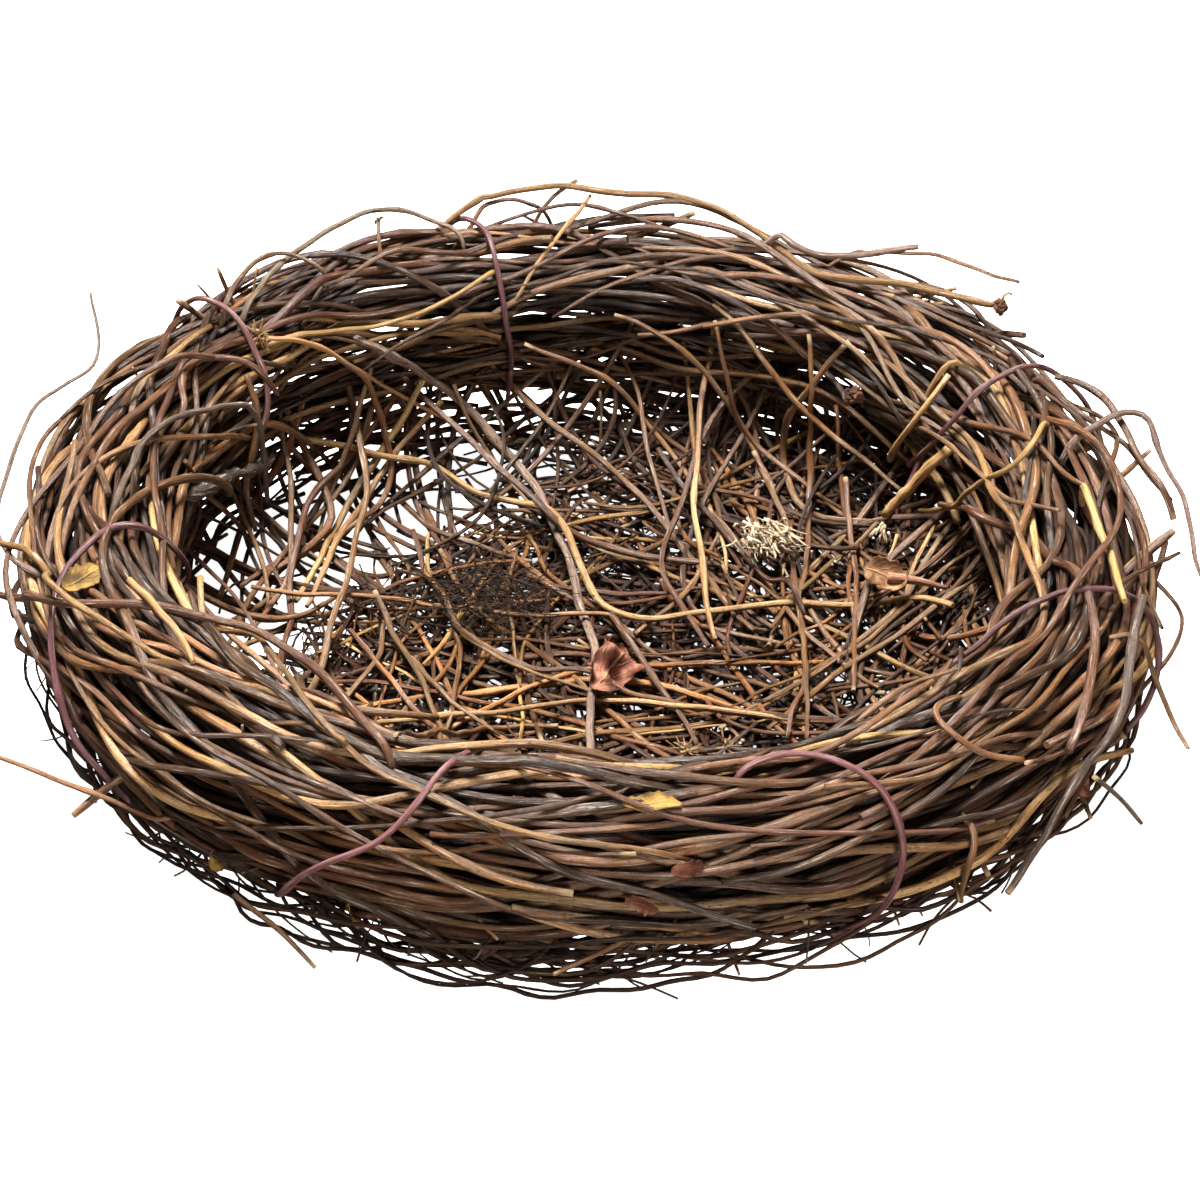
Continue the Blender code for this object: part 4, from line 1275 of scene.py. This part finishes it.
barks = {
    "wood": vine_bark("split_wood", WOODS, rough=0.7, spots=0.2),
    "brown_vine": coil_bark,
    "purple_vine": vine_bark("tie_bark", PURPLES, groove=0.25, rough=0.5, spots=0.2),
    "grey_vine": vine_bark("grey_bark", GREYS, groove=0.7, rough=0.7),
    "tan_vine": vine_bark("tan_bark", TANS, groove=0.5, rough=0.62),
    "straw": vine_bark("straw_skin", STRAWS, groove=0.4, rough=0.55, spots=0.25),
    "bark": vine_bark("dark_bark", DARKS, groove=1.0, rough=0.85, spots=0.8),
    "pale_fibre": vine_bark("pale_fibre", PALES, groove=0.5, rough=0.8, spots=0.1),
}

# %% Ends that go on into the nest
NEAR_RING = 1.16
TUCK_STEP = 2.2
TUCK_SHARES = (0.3, 0.6, 0.9)


def tucked(line):
    """The same line, with ends that touch the ring carried on a few millimetres into it."""
    for _ in range(2):
        line = line[::-1]
        end = line[-1, :3]
        out = np.hypot(*end[:2])
        home = end * (RING_RADIUS / out, RING_RADIUS / out, 0) + (0, 0, RING_MIDDLE) - end
        across, up = out - RING_RADIUS, end[2] - RING_MIDDLE
        if math.hypot(across / RING_HALF[0], up / RING_HALF[1]) > NEAR_RING:
            continue
        along = line[-1, :3] - line[-3, :3]
        for share in TUCK_SHARES:
            onward = (1 - share) * along / np.linalg.norm(along)
            heading = onward + share * home / np.linalg.norm(home)
            line = np.vstack([line, [*(line[-1, :3] + TUCK_STEP * heading), line[-1, 3]]])
    return line


# Points that carry an end of a vine on, after the end that is nearest to the first of them.
TAILS = [
    ("knobbed_vine", [(55.7, 45.3, 39.6)]),
    ("knobbed_vine", [(-25.0, 66.0, 36.0), (-31.0, 61.0, 33.0)]),
    ("crest_loop_twig", [(-21.5, 66.5, 35.0), (-24.0, 64.0, 31.5)]),
    ("crest_loop_twig", [(-8.5, 70.0, 34.5), (-7.0, 68.5, 31.5)]),
    ("thin_crest_twig", [(31.0, 60.0, 35.5), (26.0, 60.0, 33.0)]),
    ("cut_crest_vine", [(22.0, 61.0, 38.2), (17.5, 62.5, 36.8), (12.0, 64.0, 34.5)]),
    ("binding_vine_2", [(-13.5, 53.0, 20.0), (-13.7, 54.0, 13.5)]),
    ("binding_vine_3", [
        (46.5, 31.0, 24.5), (44.0, 28.5, 19.0), (42.0, 27.5, 14.0), (41.5, 29.0, 10.0),
    ]),
]


def with_tail(line, tail):
    """The line with more points after the end that is nearest the tail."""
    if np.linalg.norm(line[0, :3] - tail[0]) < np.linalg.norm(line[-1, :3] - tail[0]):
        line = line[::-1]
    return np.vstack([line, [[*point, line[-1, 3]] for point in tail]])


# %% A named vine's line
NAMED_STEP = 1.1
# How far each stiff piece of wood is drawn towards the straight line between its ends.
STRAIGHT = {"bark_twig": 0.88, "split_branch": 0.9, "split_branch_splinter": 0.6, "pale_straw": 0.7}
# Rounds of smoothing for the vines whose line in the model steps round other vines.
SMOOTHING = {"thin_crest_twig": 60, "knobbed_vine": 6, "right_yellow_straw": 10}
# Where a vine is eased back to its own plan: the place, the way it moves and how far along.
EASED = {"knobbed_vine": ((-7.0, 72.0, 43.5), (0.0, -1.0, -2.6), 6.5)}


def straighter(line, share):
    """The line drawn towards the straight one between its ends."""
    t = travelled(line[:, :3]) / travelled(line[:, :3])[-1]
    chord = line[0, :3] + (line[-1, :3] - line[0, :3]) * t[:, None]
    return np.column_stack([(1 - share) * line[:, :3] + share * chord, line[:, 3]])


def named_line(node):
    """The line that a named vine's piece follows, with the radius beside each point."""
    line = tube_line(node)
    if node in EASED:
        place, way, width = EASED[node]
        near = np.exp(-((np.linalg.norm(line[:, :3] - place, axis=1) / width) ** 2))
        line[:, :3] += near[:, None] * way
    line = evened(curve_through(line, 2.0), SMOOTHING.get(node, 2))
    if node in STRAIGHT:
        line = straighter(line, STRAIGHT[node])
    if node == "budded_twig":
        line = line[len(line) // 2 :]
    tails = [tail for name, tail in TAILS if name == node]
    line = line if tails else tucked(line)
    for tail in tails:
        line = with_tail(line, tail)
    return curve_through(line, NAMED_STEP)


# %% Dress the named vines
SCRAPS = ["crumpled_leaf", "bark_scrap", "seed_tuft", "root_clump", "back_bud", "crest_knob"]
FORMS = ["coiled_vine_ring", "open_weave_wall", "twig_lining"]
# Radii as a share of the tube's in the model: for ties, for most vines and for these few.
TIE_SLIMNESS, USUAL_SLIMNESS = 0.64, 0.8
SLIMNESS = {
    "long_grey_vine": 1.0, "long_tan_vine": 0.92, "knobbed_vine": 0.72, "cut_crest_vine": 0.66,
    "split_branch": 0.75, "split_branch_splinter": 0.6, "right_yellow_straw": 1.05,
}
# Vines that look different from the others in their material slot.
OTHER_BARK = {"split_branch": "wood", "split_branch_splinter": "wood", "floor_twig_5": "brown_vine"}


def slimness(node):
    """A named vine's radius as a share of its tube's."""
    usual = TIE_SLIMNESS if node.startswith("binding_vine") else USUAL_SLIMNESS
    return SLIMNESS.get(node, usual)


def roughen(piece, height, size):
    """Pushes a piece's corners in and out by a noise, for flaking bark."""
    for corner in piece.data.vertices:
        corner.co += corner.normal * height * MM * noise.noise(corner.co / (size * MM))


slots = {row["node"]: row["material_slot"] for row in frame["record"]["subparts"]}
named = sorted(set(slots) - set(SCRAPS) - set(FORMS))
rng = np.random.default_rng(58)
for node in named:
    line = named_line(node)
    points = wandering(line[:, :3], NAMED_STEP, [(19, 0.16), (8, 0.06)], rng)
    knotty = slimness(node) * line[:, 3] * vine_radii(points, 1.0, rng, 0.9, 0.85, 5.0)
    strand = Strand(points, knotty, rng.uniform(0.15, 0.75), 0.0, pale_tips(rng, 0.2))
    skin = barks[OTHER_BARK.get(node, slots[node])]
    piece = tube_mesh(f"{node}_bark", [strand], 16 if node in STRAIGHT else 10, skin, seed=3)
    if node in STRAIGHT:
        roughen(piece, (0.9 if node == "bark_twig" else 0.35) * line[:, 3].mean(), 1.6)
    if node == "budded_twig":
        bud_end = max(points, key=lambda point: point[2])
    finish_piece(piece, slots[node], node)
print(len(named), "named vines")

# %% [markdown]
# ## Fibres, leaves and lumps
#
# Other plants are caught in the nest: a crumpled leaf, a curled scrap of bark, a tuft of
# pale shredded fibre, a clump of dark rootlets and a few buds. Fibres are tubes again. A
# leaf starts as a flat grid that is narrowed to a leaf's outline, rolled about its midrib
# and creased by a noise, then given a thickness. A lump is a ball pushed in and out by a
# noise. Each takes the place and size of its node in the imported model.


# %% Fibres
def fibres(middle, size, count, lengths, radii, tones, rng, curl=0.5, aim=(0, 0, 0), flat=1.0):
    """Thin curled fibres that start in an oval round the middle and lean to the aim.

    Flat below 1 lays them down.
    """
    strands = []
    for _ in range(count):
        start = np.array(middle) + np.array(size) / 2 * np.clip(rng.normal(0, 0.5, 3), -1, 1)
        length = rng.uniform(*lengths)
        steps = max(5, int(length / 0.7))
        heading = rng.normal(size=3) + np.array(aim)
        heading = heading / np.linalg.norm(heading)
        heading = heading + 0.3 * curl * rng.normal(size=(steps, 3)).cumsum(axis=0)
        heading /= np.linalg.norm(heading, axis=1, keepdims=True)
        heading[:, 2] *= flat
        line = start + heading.cumsum(axis=0) * length / steps
        thin = np.linspace(1, 0.35, steps) * rng.uniform(*radii)
        strands.append(Strand(line, thin, rng.uniform(*tones)))
    return strands


def node_middle(node):
    """The middle and the size of a node's box in millimetres."""
    low, high = (np.array(corner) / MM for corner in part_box(node))
    return (low + high) / 2, high - low


ROOTS = [(0.0, (0.007, 0.003, 0.002)), (0.6, (0.022, 0.01, 0.005)), (1.0, (0.08, 0.038, 0.016))]
rootlet_bark = vine_bark("rootlet_bark", ROOTS, groove=0.3, rough=0.8, gloss=0.15)
rng = np.random.default_rng(71)
middle, size = node_middle("root_clump")
clump = fibres(
    middle - (0, 0, 0.8), size * (1.7, 1.6, 0.8), 210, (5, 15), (0.05, 0.14), (0.0, 0.8), rng,
    curl=1.5, flat=0.3,
)
finish_piece(tube_mesh("root_clump_fibres", clump, 4, rootlet_bark, seed=11), "bark", "root_clump")
middle, size = node_middle("seed_tuft")
tuft = fibres(
    middle, size * (0.8, 0.9, 1.1), 250, (1.5, 4.2), (0.08, 0.34), (0.0, 0.95), rng,
    curl=0.6, aim=(1.6, -2.0, 0), flat=0.7,
)
piece = tube_mesh("seed_tuft_fibres", tuft, 5, barks["pale_fibre"], seed=12)
finish_piece(piece, "pale_fibre", "seed_tuft")
print(len(clump), "rootlets in the clump,", len(tuft), "fibres in the tuft")


# %% Leaves
def leaf_skin(name, stops):
    """Dry leaf: blotched, with a midrib, side veins and darker margins."""
    material, shader, page = start_material(name)
    flat = page.node("ShaderNodeUVMap", {"uv_map": "leaf_map"})
    along = page.node("ShaderNodeSeparateXYZ", Vector=flat)
    across = page.node("ShaderNodeSeparateXYZ", output=1, Vector=flat)
    side = page.math("ABSOLUTE", across - 0.5)
    midrib = 1.0 - side.between(0.01, 0.05)
    ribs = 1.0 - page.math("PINGPONG", along * 6.0 - side * 5.0, 0.5).between(0.03, 0.12)
    solid = page.node("ShaderNodeTexCoord", output=3)
    blotch = page.node("ShaderNodeTexNoise", Vector=solid, Scale=420.0, Detail=4.0)
    colour = blotch.between(0.3, 0.7).ramp(stops)
    colour = colour.mix((0.35, 0.25, 0.2), side.between(0.34, 0.5) * 0.7, "MULTIPLY")
    colour = colour.mix((0.42, 0.25, 0.13), midrib * 0.3 + ribs * 0.1)
    connect(colour, shader, "Base Color")
    bump = page.node("ShaderNodeBump", Height=midrib + ribs * 0.6 + blotch, Distance=0.15 * MM)
    connect(bump, shader, "Normal")
    shader.inputs["Roughness"].default_value = 0.7
    shader.inputs["Specular IOR Level"].default_value = 0.25
    return material


LEAF_THICKNESS = 0.14


def leaf_sheet(name, middle, size, pose, crease, seed, skin):
    """A dry leaf. Its size is (length, width) in mm and its pose (turn, lean, roll) in degrees."""
    length, width = size
    turn, lean, roll = pose
    bpy.ops.object.select_all(action="DESELECT")
    bpy.ops.mesh.primitive_grid_add(x_subdivisions=44, y_subdivisions=24, size=1.0)
    leaf = bpy.context.object
    leaf.name = name
    leaf.data.uv_layers[0].name = "leaf_map"
    bend = math.radians(roll)
    for corner in leaf.data.vertices:
        place, side = corner.co.x + 0.5, 2 * corner.co.y
        ragged = noise.noise(Vector((place * 9, np.sign(side) * 3, seed)))
        edge = math.sin(math.pi * min(max(place, 0.0), 1.0)) ** 0.55 * (0.9 + 0.35 * ragged)
        across, angle = side * edge * width / 2, side * edge * bend
        flat = Vector(((place - 0.5) * length, across, 0)) * 0.3
        bow = width / 2 * (1 - math.cos(angle)) / bend
        up = bow + crease * noise.noise(flat + Vector((0, 0, seed)))
        shift = 0.5 * crease * noise.noise(flat + Vector((9, 0, seed)))
        aside = width / 2 * math.sin(angle) / bend
        corner.co = Vector(((place - 0.5) * length + shift, aside, up)) * MM
    tilt = Matrix.Rotation(math.radians(turn), 4, "Z") @ Matrix.Rotation(math.radians(lean), 4, "X")
    leaf.data.transform(Matrix.Translation(Vector(middle) * MM) @ tilt)
    thickness = leaf.modifiers.new("thickness", "SOLIDIFY")
    thickness.thickness = LEAF_THICKNESS * MM
    bpy.ops.object.modifier_apply(modifier="thickness")
    leaf.data.materials.append(skin)
    leaf.data.polygons.foreach_set("use_smooth", [True] * len(leaf.data.polygons))
    return leaf


RED_LEAF = even_stops((0.05, 0.014, 0.008), (0.16, 0.05, 0.03), (0.34, 0.16, 0.1))
PINK_LEAF = even_stops((0.07, 0.03, 0.012), (0.22, 0.11, 0.05), (0.42, 0.25, 0.13))
OLIVE_LEAF = even_stops((0.07, 0.042, 0.012), (0.19, 0.11, 0.025), (0.36, 0.22, 0.055))
red_skin = leaf_skin("red_leaf", RED_LEAF)
pink_skin = leaf_skin("pink_leaf", PINK_LEAF)
olive_skin = leaf_skin("olive_leaf", OLIVE_LEAF)

middle, _ = node_middle("crumpled_leaf")
middle = middle + (-1.0, 0.5, -0.6)
leaf = leaf_sheet("crumpled_leaf_sheet", middle, (10.8, 7.6), (68, 34, 55), 3.4, 3.0, red_skin)
finish_piece(leaf, "dry_leaf", "crumpled_leaf")

# The scrap of bark is a curled sheet beside a narrow roll.
ROLL_POINTS = [(-2.6, 0.2, 0.4), (0, -0.2, 0.5), (2.6, -0.3, 0.2), (5.6, -0.2, -0.6)]
PINKS = even_stops((0.08, 0.034, 0.018), (0.2, 0.09, 0.05), (0.36, 0.19, 0.11))
middle, _ = node_middle("bark_scrap")
place = middle + (-3.0, 0.4, 0.6)
scrap = leaf_sheet("bark_scrap_sheet", place, (6.8, 5.2), (-32, 35, 60), 1.6, 7.0, pink_skin)
finish_piece(scrap, "dry_leaf", "bark_scrap")
line = curve_through(middle + ROLL_POINTS, 0.6)
thick = np.interp(np.linspace(0, 1, len(line)), [0, 0.5, 1], [0.8, 0.55, 0.3])
roll_bark = vine_bark("roll_bark", PINKS, rough=0.7)
roll = tube_mesh("bark_scrap_roll", [Strand(line, thick, 0.8)], 12, roll_bark, seed=10)
finish_piece(roll, "dry_leaf", "bark_scrap")


# %% Lumps
def lump(name, middle, size, rough, seed, skin):
    """A bud or knot: a ball of this size in millimetres, pushed in and out."""
    bpy.ops.object.select_all(action="DESELECT")
    bpy.ops.mesh.primitive_ico_sphere_add(subdivisions=4, radius=0.5)
    ball = bpy.context.object
    ball.name = name
    for corner in ball.data.vertices:
        bumps = noise.noise(corner.co * 4 + Vector((seed, 0, 0))) + 0.5 * noise.noise(corner.co * 9)
        corner.co = (corner.co * (1 + rough * bumps) * Vector(size) + Vector(middle)) * MM
    ball.data.materials.append(skin)
    return ball


# %% [markdown]
# ## Odds and ends round the ring
#
# The photograph shows many small things that stand out of the ring: cut ends of vines,
# fuzzy yellow buds, pale seeds, a splintered end and bits of leaf. They could be painted on,
# but they show in the outline, so they are shapes. A cut end starts inside the ring, so that
# it never floats, and goes out through the ring's skin. The rest sit on the skin or on the
# floor, as fibres or as small leaves.

# %% Stubs
def skin_point(turn, around, out=1.0):
    """A point on the ring's skin. The angles are in degrees: around is 0 outside, 90 on top."""
    lean = math.radians(around)
    section = out * RING_HALF * (math.cos(lean), math.sin(lean))
    return ring_place(np.radians([turn]), section[None])[0]


def stub(turn, around, reach, radius, tone, twist, rng):
    """A vine's end that stands out of the ring by its reach. The twist leans it along the ring."""
    foot = skin_point(turn, around, 0.5)
    out = skin_point(turn, around, 1.2) - skin_point(turn, around, 0.8)
    along = np.array([-math.sin(math.radians(turn)), math.cos(math.radians(turn)), 0])
    out = out / np.linalg.norm(out) + twist * along
    out /= np.linalg.norm(out)
    length = np.linalg.norm(skin_point(turn, around) - foot) + reach
    t = np.linspace(0, 1, max(5, int(length / 1.5)))[:, None]
    line = foot + out * length * t + rng.normal(0, 0.1 * length, 3) * t**2
    line = curve_through(line, 0.9)
    return Strand(line, vine_radii(line, radius, rng, 1, 0.8, 2.0), tone, 0.0, (0.0, 0.6))


# Turn, around, reach, radius, tone and twist of each cut end that shows in the outline.
STUBS = [
    (143, 55, 2.6, 0.4, 0.5, 0.5), (141.5, 57, 2.2, 0.22, 0.1, 0.2),
    (139.5, 60, 3.4, 0.36, 0.6, 0.3), (139.0, 60, 2.2, 0.24, 0.6, -0.6),
    (57, 62, 9, 0.35, 0.7, -2.0), (58, 58, 8, 0.3, 0.4, -2.2), (56, 66, 8, 0.32, 0.8, -1.8),
    (9, 42, 3.5, 0.35, 0.6, 0.1), (-6, 35, 3, 0.3, 0.95, 0.9), (-7, 35, 4.5, 0.65, 0.1, 0.9),
    (-22, -16, 3.2, 0.35, 0.4, -0.8), (-32, -28, 5.5, 0.3, 0.4, -0.2), (-49, -24, 2.5, 0.35, 0.5, 0),
    (-59, -46, 3.5, 0.2, 0.3, 0.3), (-56, -45, 2.5, 0.2, 0.3, 0), (-77, -40, 13, 0.28, 0.45, -2.4),
    (-81, -51, 4, 0.15, 0.2, 1.5), (-76, -51, 3, 0.2, 0.1, 0.2), (-139, -35, 6.5, 0.5, 0.65, -0.4),
    (97, 66, 15, 0.5, 0.65, -5.0), (92, 66, 4.5, 0.3, 0.6, -1.2),
]
FURTHER_STUBS = 70
rng = np.random.default_rng(83)
stubs = [stub(*row, rng) for row in STUBS]
for _ in range(FURTHER_STUBS):
    around = rng.uniform(-90, -20) if rng.uniform() < 0.6 else rng.uniform(-90, 170)
    reach = rng.uniform(0.8, 5 if around < -20 else 1.6)
    row = (rng.uniform(0, 360), around, reach, rng.uniform(0.1, 0.3), rng.uniform(0, 0.9))
    stubs.append(stub(*row, rng.normal(0, 2.4), rng))
# The bud on the budded twig, and a vine that drops from the ring onto the floor on the left.
stubs += fibres(bud_end, (0.7, 0.7, 0.8), 12, (0.4, 1.2), (0.12, 0.26), (0.2, 0.6), rng)
DROP_FOOT = [(-49.0, 22.5, 17.5), (-47.5, 20.0, 11.5)]
drop = curve_through([skin_point(151, 145, 1.04), skin_point(152, 178, 1.1), *DROP_FOOT], 1.2)
stubs.append(Strand(drop, vine_radii(drop, 0.5, rng), 0.5))
finish_piece(tube_mesh("loose_ends", stubs, 6, coil_bark, seed=13), "brown_vine")
print(len(stubs), "loose ends")

# %% Buds, knobs, splinters and leaf bits
BUD_BROWNS = even_stops((0.035, 0.014, 0.008), (0.1, 0.042, 0.022), (0.22, 0.1, 0.05))
bud_skin = leaf_skin("bud_skin", BUD_BROWNS)
middle, size = node_middle("back_bud")
finish_piece(lump("back_bud_lump", middle, size, 0.45, 1.0, bud_skin), "bark", "back_bud")
middle, size = node_middle("crest_knob")
finish_piece(lump("crest_knob_lump", middle, size * 1.15, 0.5, 5.0, bud_skin), "bark", "crest_knob")

# Turn and around of each fuzzy bud.
YELLOW_BUDS = [(145.4, 128), (-78, 124), (-73, 124)]
fuzz = []
for turn, around in YELLOW_BUDS:
    place = skin_point(turn, around, 1.08)
    fuzz += fibres(place, (1.5, 1.5, 1.5), 34, (1, 2.8), (0.1, 0.22), (0.2, 0.8), rng)
finish_piece(tube_mesh("fuzzy_buds", fuzz, 5, barks["straw"], seed=14), "straw")

# Single seeds on the floor, a vine's splintered end and a small pale hook on the crest.
SEEDS, SEEDS_SPREAD = (27, 24, 11), (14, 12, 3)
SPLINTERED_END, SPLINTER_AIM = (40.9, 25.0, 14.2), (-0.9, -1.2, -2.2)
HOOK = [(56.3, 44.9, 40.2), (56.5, 45, 41.2), (57.1, 45, 41.7), (57.6, 45, 41.4)]
seeds = fibres(SEEDS, SEEDS_SPREAD, 12, (0.8, 1.6), (0.12, 0.24), (0.5, 1.0), rng, curl=0.1)
seeds += fibres(
    SPLINTERED_END, (1.2, 1.2, 1.6), 22, (0.9, 2.6), (0.14, 0.34), (0.3, 1.0), rng,
    curl=0.2, aim=SPLINTER_AIM,
)
seeds.append(Strand(HOOK, 0.22, 0.0))
finish_piece(tube_mesh("pale_seeds", seeds, 5, barks["pale_fibre"], seed=15), "pale_fibre")

# Turn, around, size, heading and lean of each bit of leaf, and its skin.
LEAF_BITS = [
    (-155, 66, (6.0, 4.0), 40, 20, olive_skin), (-126, -40, (5.0, 3.6), 80, 60, olive_skin),
    (-111, -46, (4.5, 3.4), 100, 70, olive_skin), (-83, 68, (7.0, 2.4), 5, 20, olive_skin),
    (-80, 28, (4.0, 2.2), 20, 60, red_skin), (-84, 8, (4.0, 2.4), -20, 80, red_skin),
    (-32.5, -28, (4.2, 2.4), 70, 70, red_skin),
]
BIT_ROLL, BIT_CREASE = 40, 1.0
for number, (turn, around, size, heading, lean, skin) in enumerate(LEAF_BITS):
    place, pose = skin_point(turn, around, 1.05), (heading, lean, BIT_ROLL)
    bit = leaf_sheet(f"leaf_bit_{number + 1}", place, size, pose, BIT_CREASE, number, skin)
    finish_piece(bit, "dry_leaf")
print(len(fuzz), "fibres on the buds,", len(seeds), "pale seeds,", len(LEAF_BITS), "bits of leaf")

# %% [markdown]
# ## Stage and light
#
# The photograph has a plain white ground. A lit white floor would turn grey in the nest's
# shadow, so the floor glows a little. It is hidden from the light that bounces, so that it
# doesn't light the nest from below. Two soft lights are enough: a large one above and
# behind, which brightens the top of each vine and leaves the gaps dark, and a weaker one in
# front. A faint glow from all round keeps the darkest gaps from turning black.

# %% Floor and lights
FLOOR_SIDE = 4
FLOOR_GLOW = 0.95
WORLD_GLOW = 0.2
bpy.ops.mesh.primitive_plane_add(size=FLOOR_SIDE)
floor = bpy.context.object
floor.name = "pale_floor"
paper, paper_shader, _ = start_material("pale_paper")
paper_shader.inputs["Base Color"].default_value = (0.9, 0.9, 0.9, 1)
paper_shader.inputs["Roughness"].default_value = 0.9
paper_shader.inputs["Emission Color"].default_value = (1, 1, 1, 1)
paper_shader.inputs["Emission Strength"].default_value = FLOOR_GLOW
floor.data.materials.append(paper)
floor.visible_glossy = False
floor.visible_diffuse = False

world = bpy.data.worlds.new("studio")
bpy.context.scene.world = world
world.use_nodes = True
background = world.node_tree.nodes["Background"]
background.inputs["Color"].default_value = (1, 0.92, 0.84, 1)
background.inputs["Strength"].default_value = WORLD_GLOW


def soft_light(name, place, size, power, colour):
    """A square soft light that points at the nest."""
    bpy.ops.object.light_add(type="AREA", location=[value * MM for value in place])
    light = bpy.context.object
    light.name = name
    light.data.size = size * MM
    light.data.energy = power
    light.data.color = colour
    light.rotation_euler = Vector(light.location).to_track_quat("Z", "Y").to_euler()


soft_light("top_light", (-140, 140, 750), 270, 26.5, (1.0, 0.97, 0.93))
soft_light("front_light", (240, -690, 150), 240, 6.0, (1.0, 0.92, 0.82))
bpy.context.scene.view_settings.view_transform = "Standard"
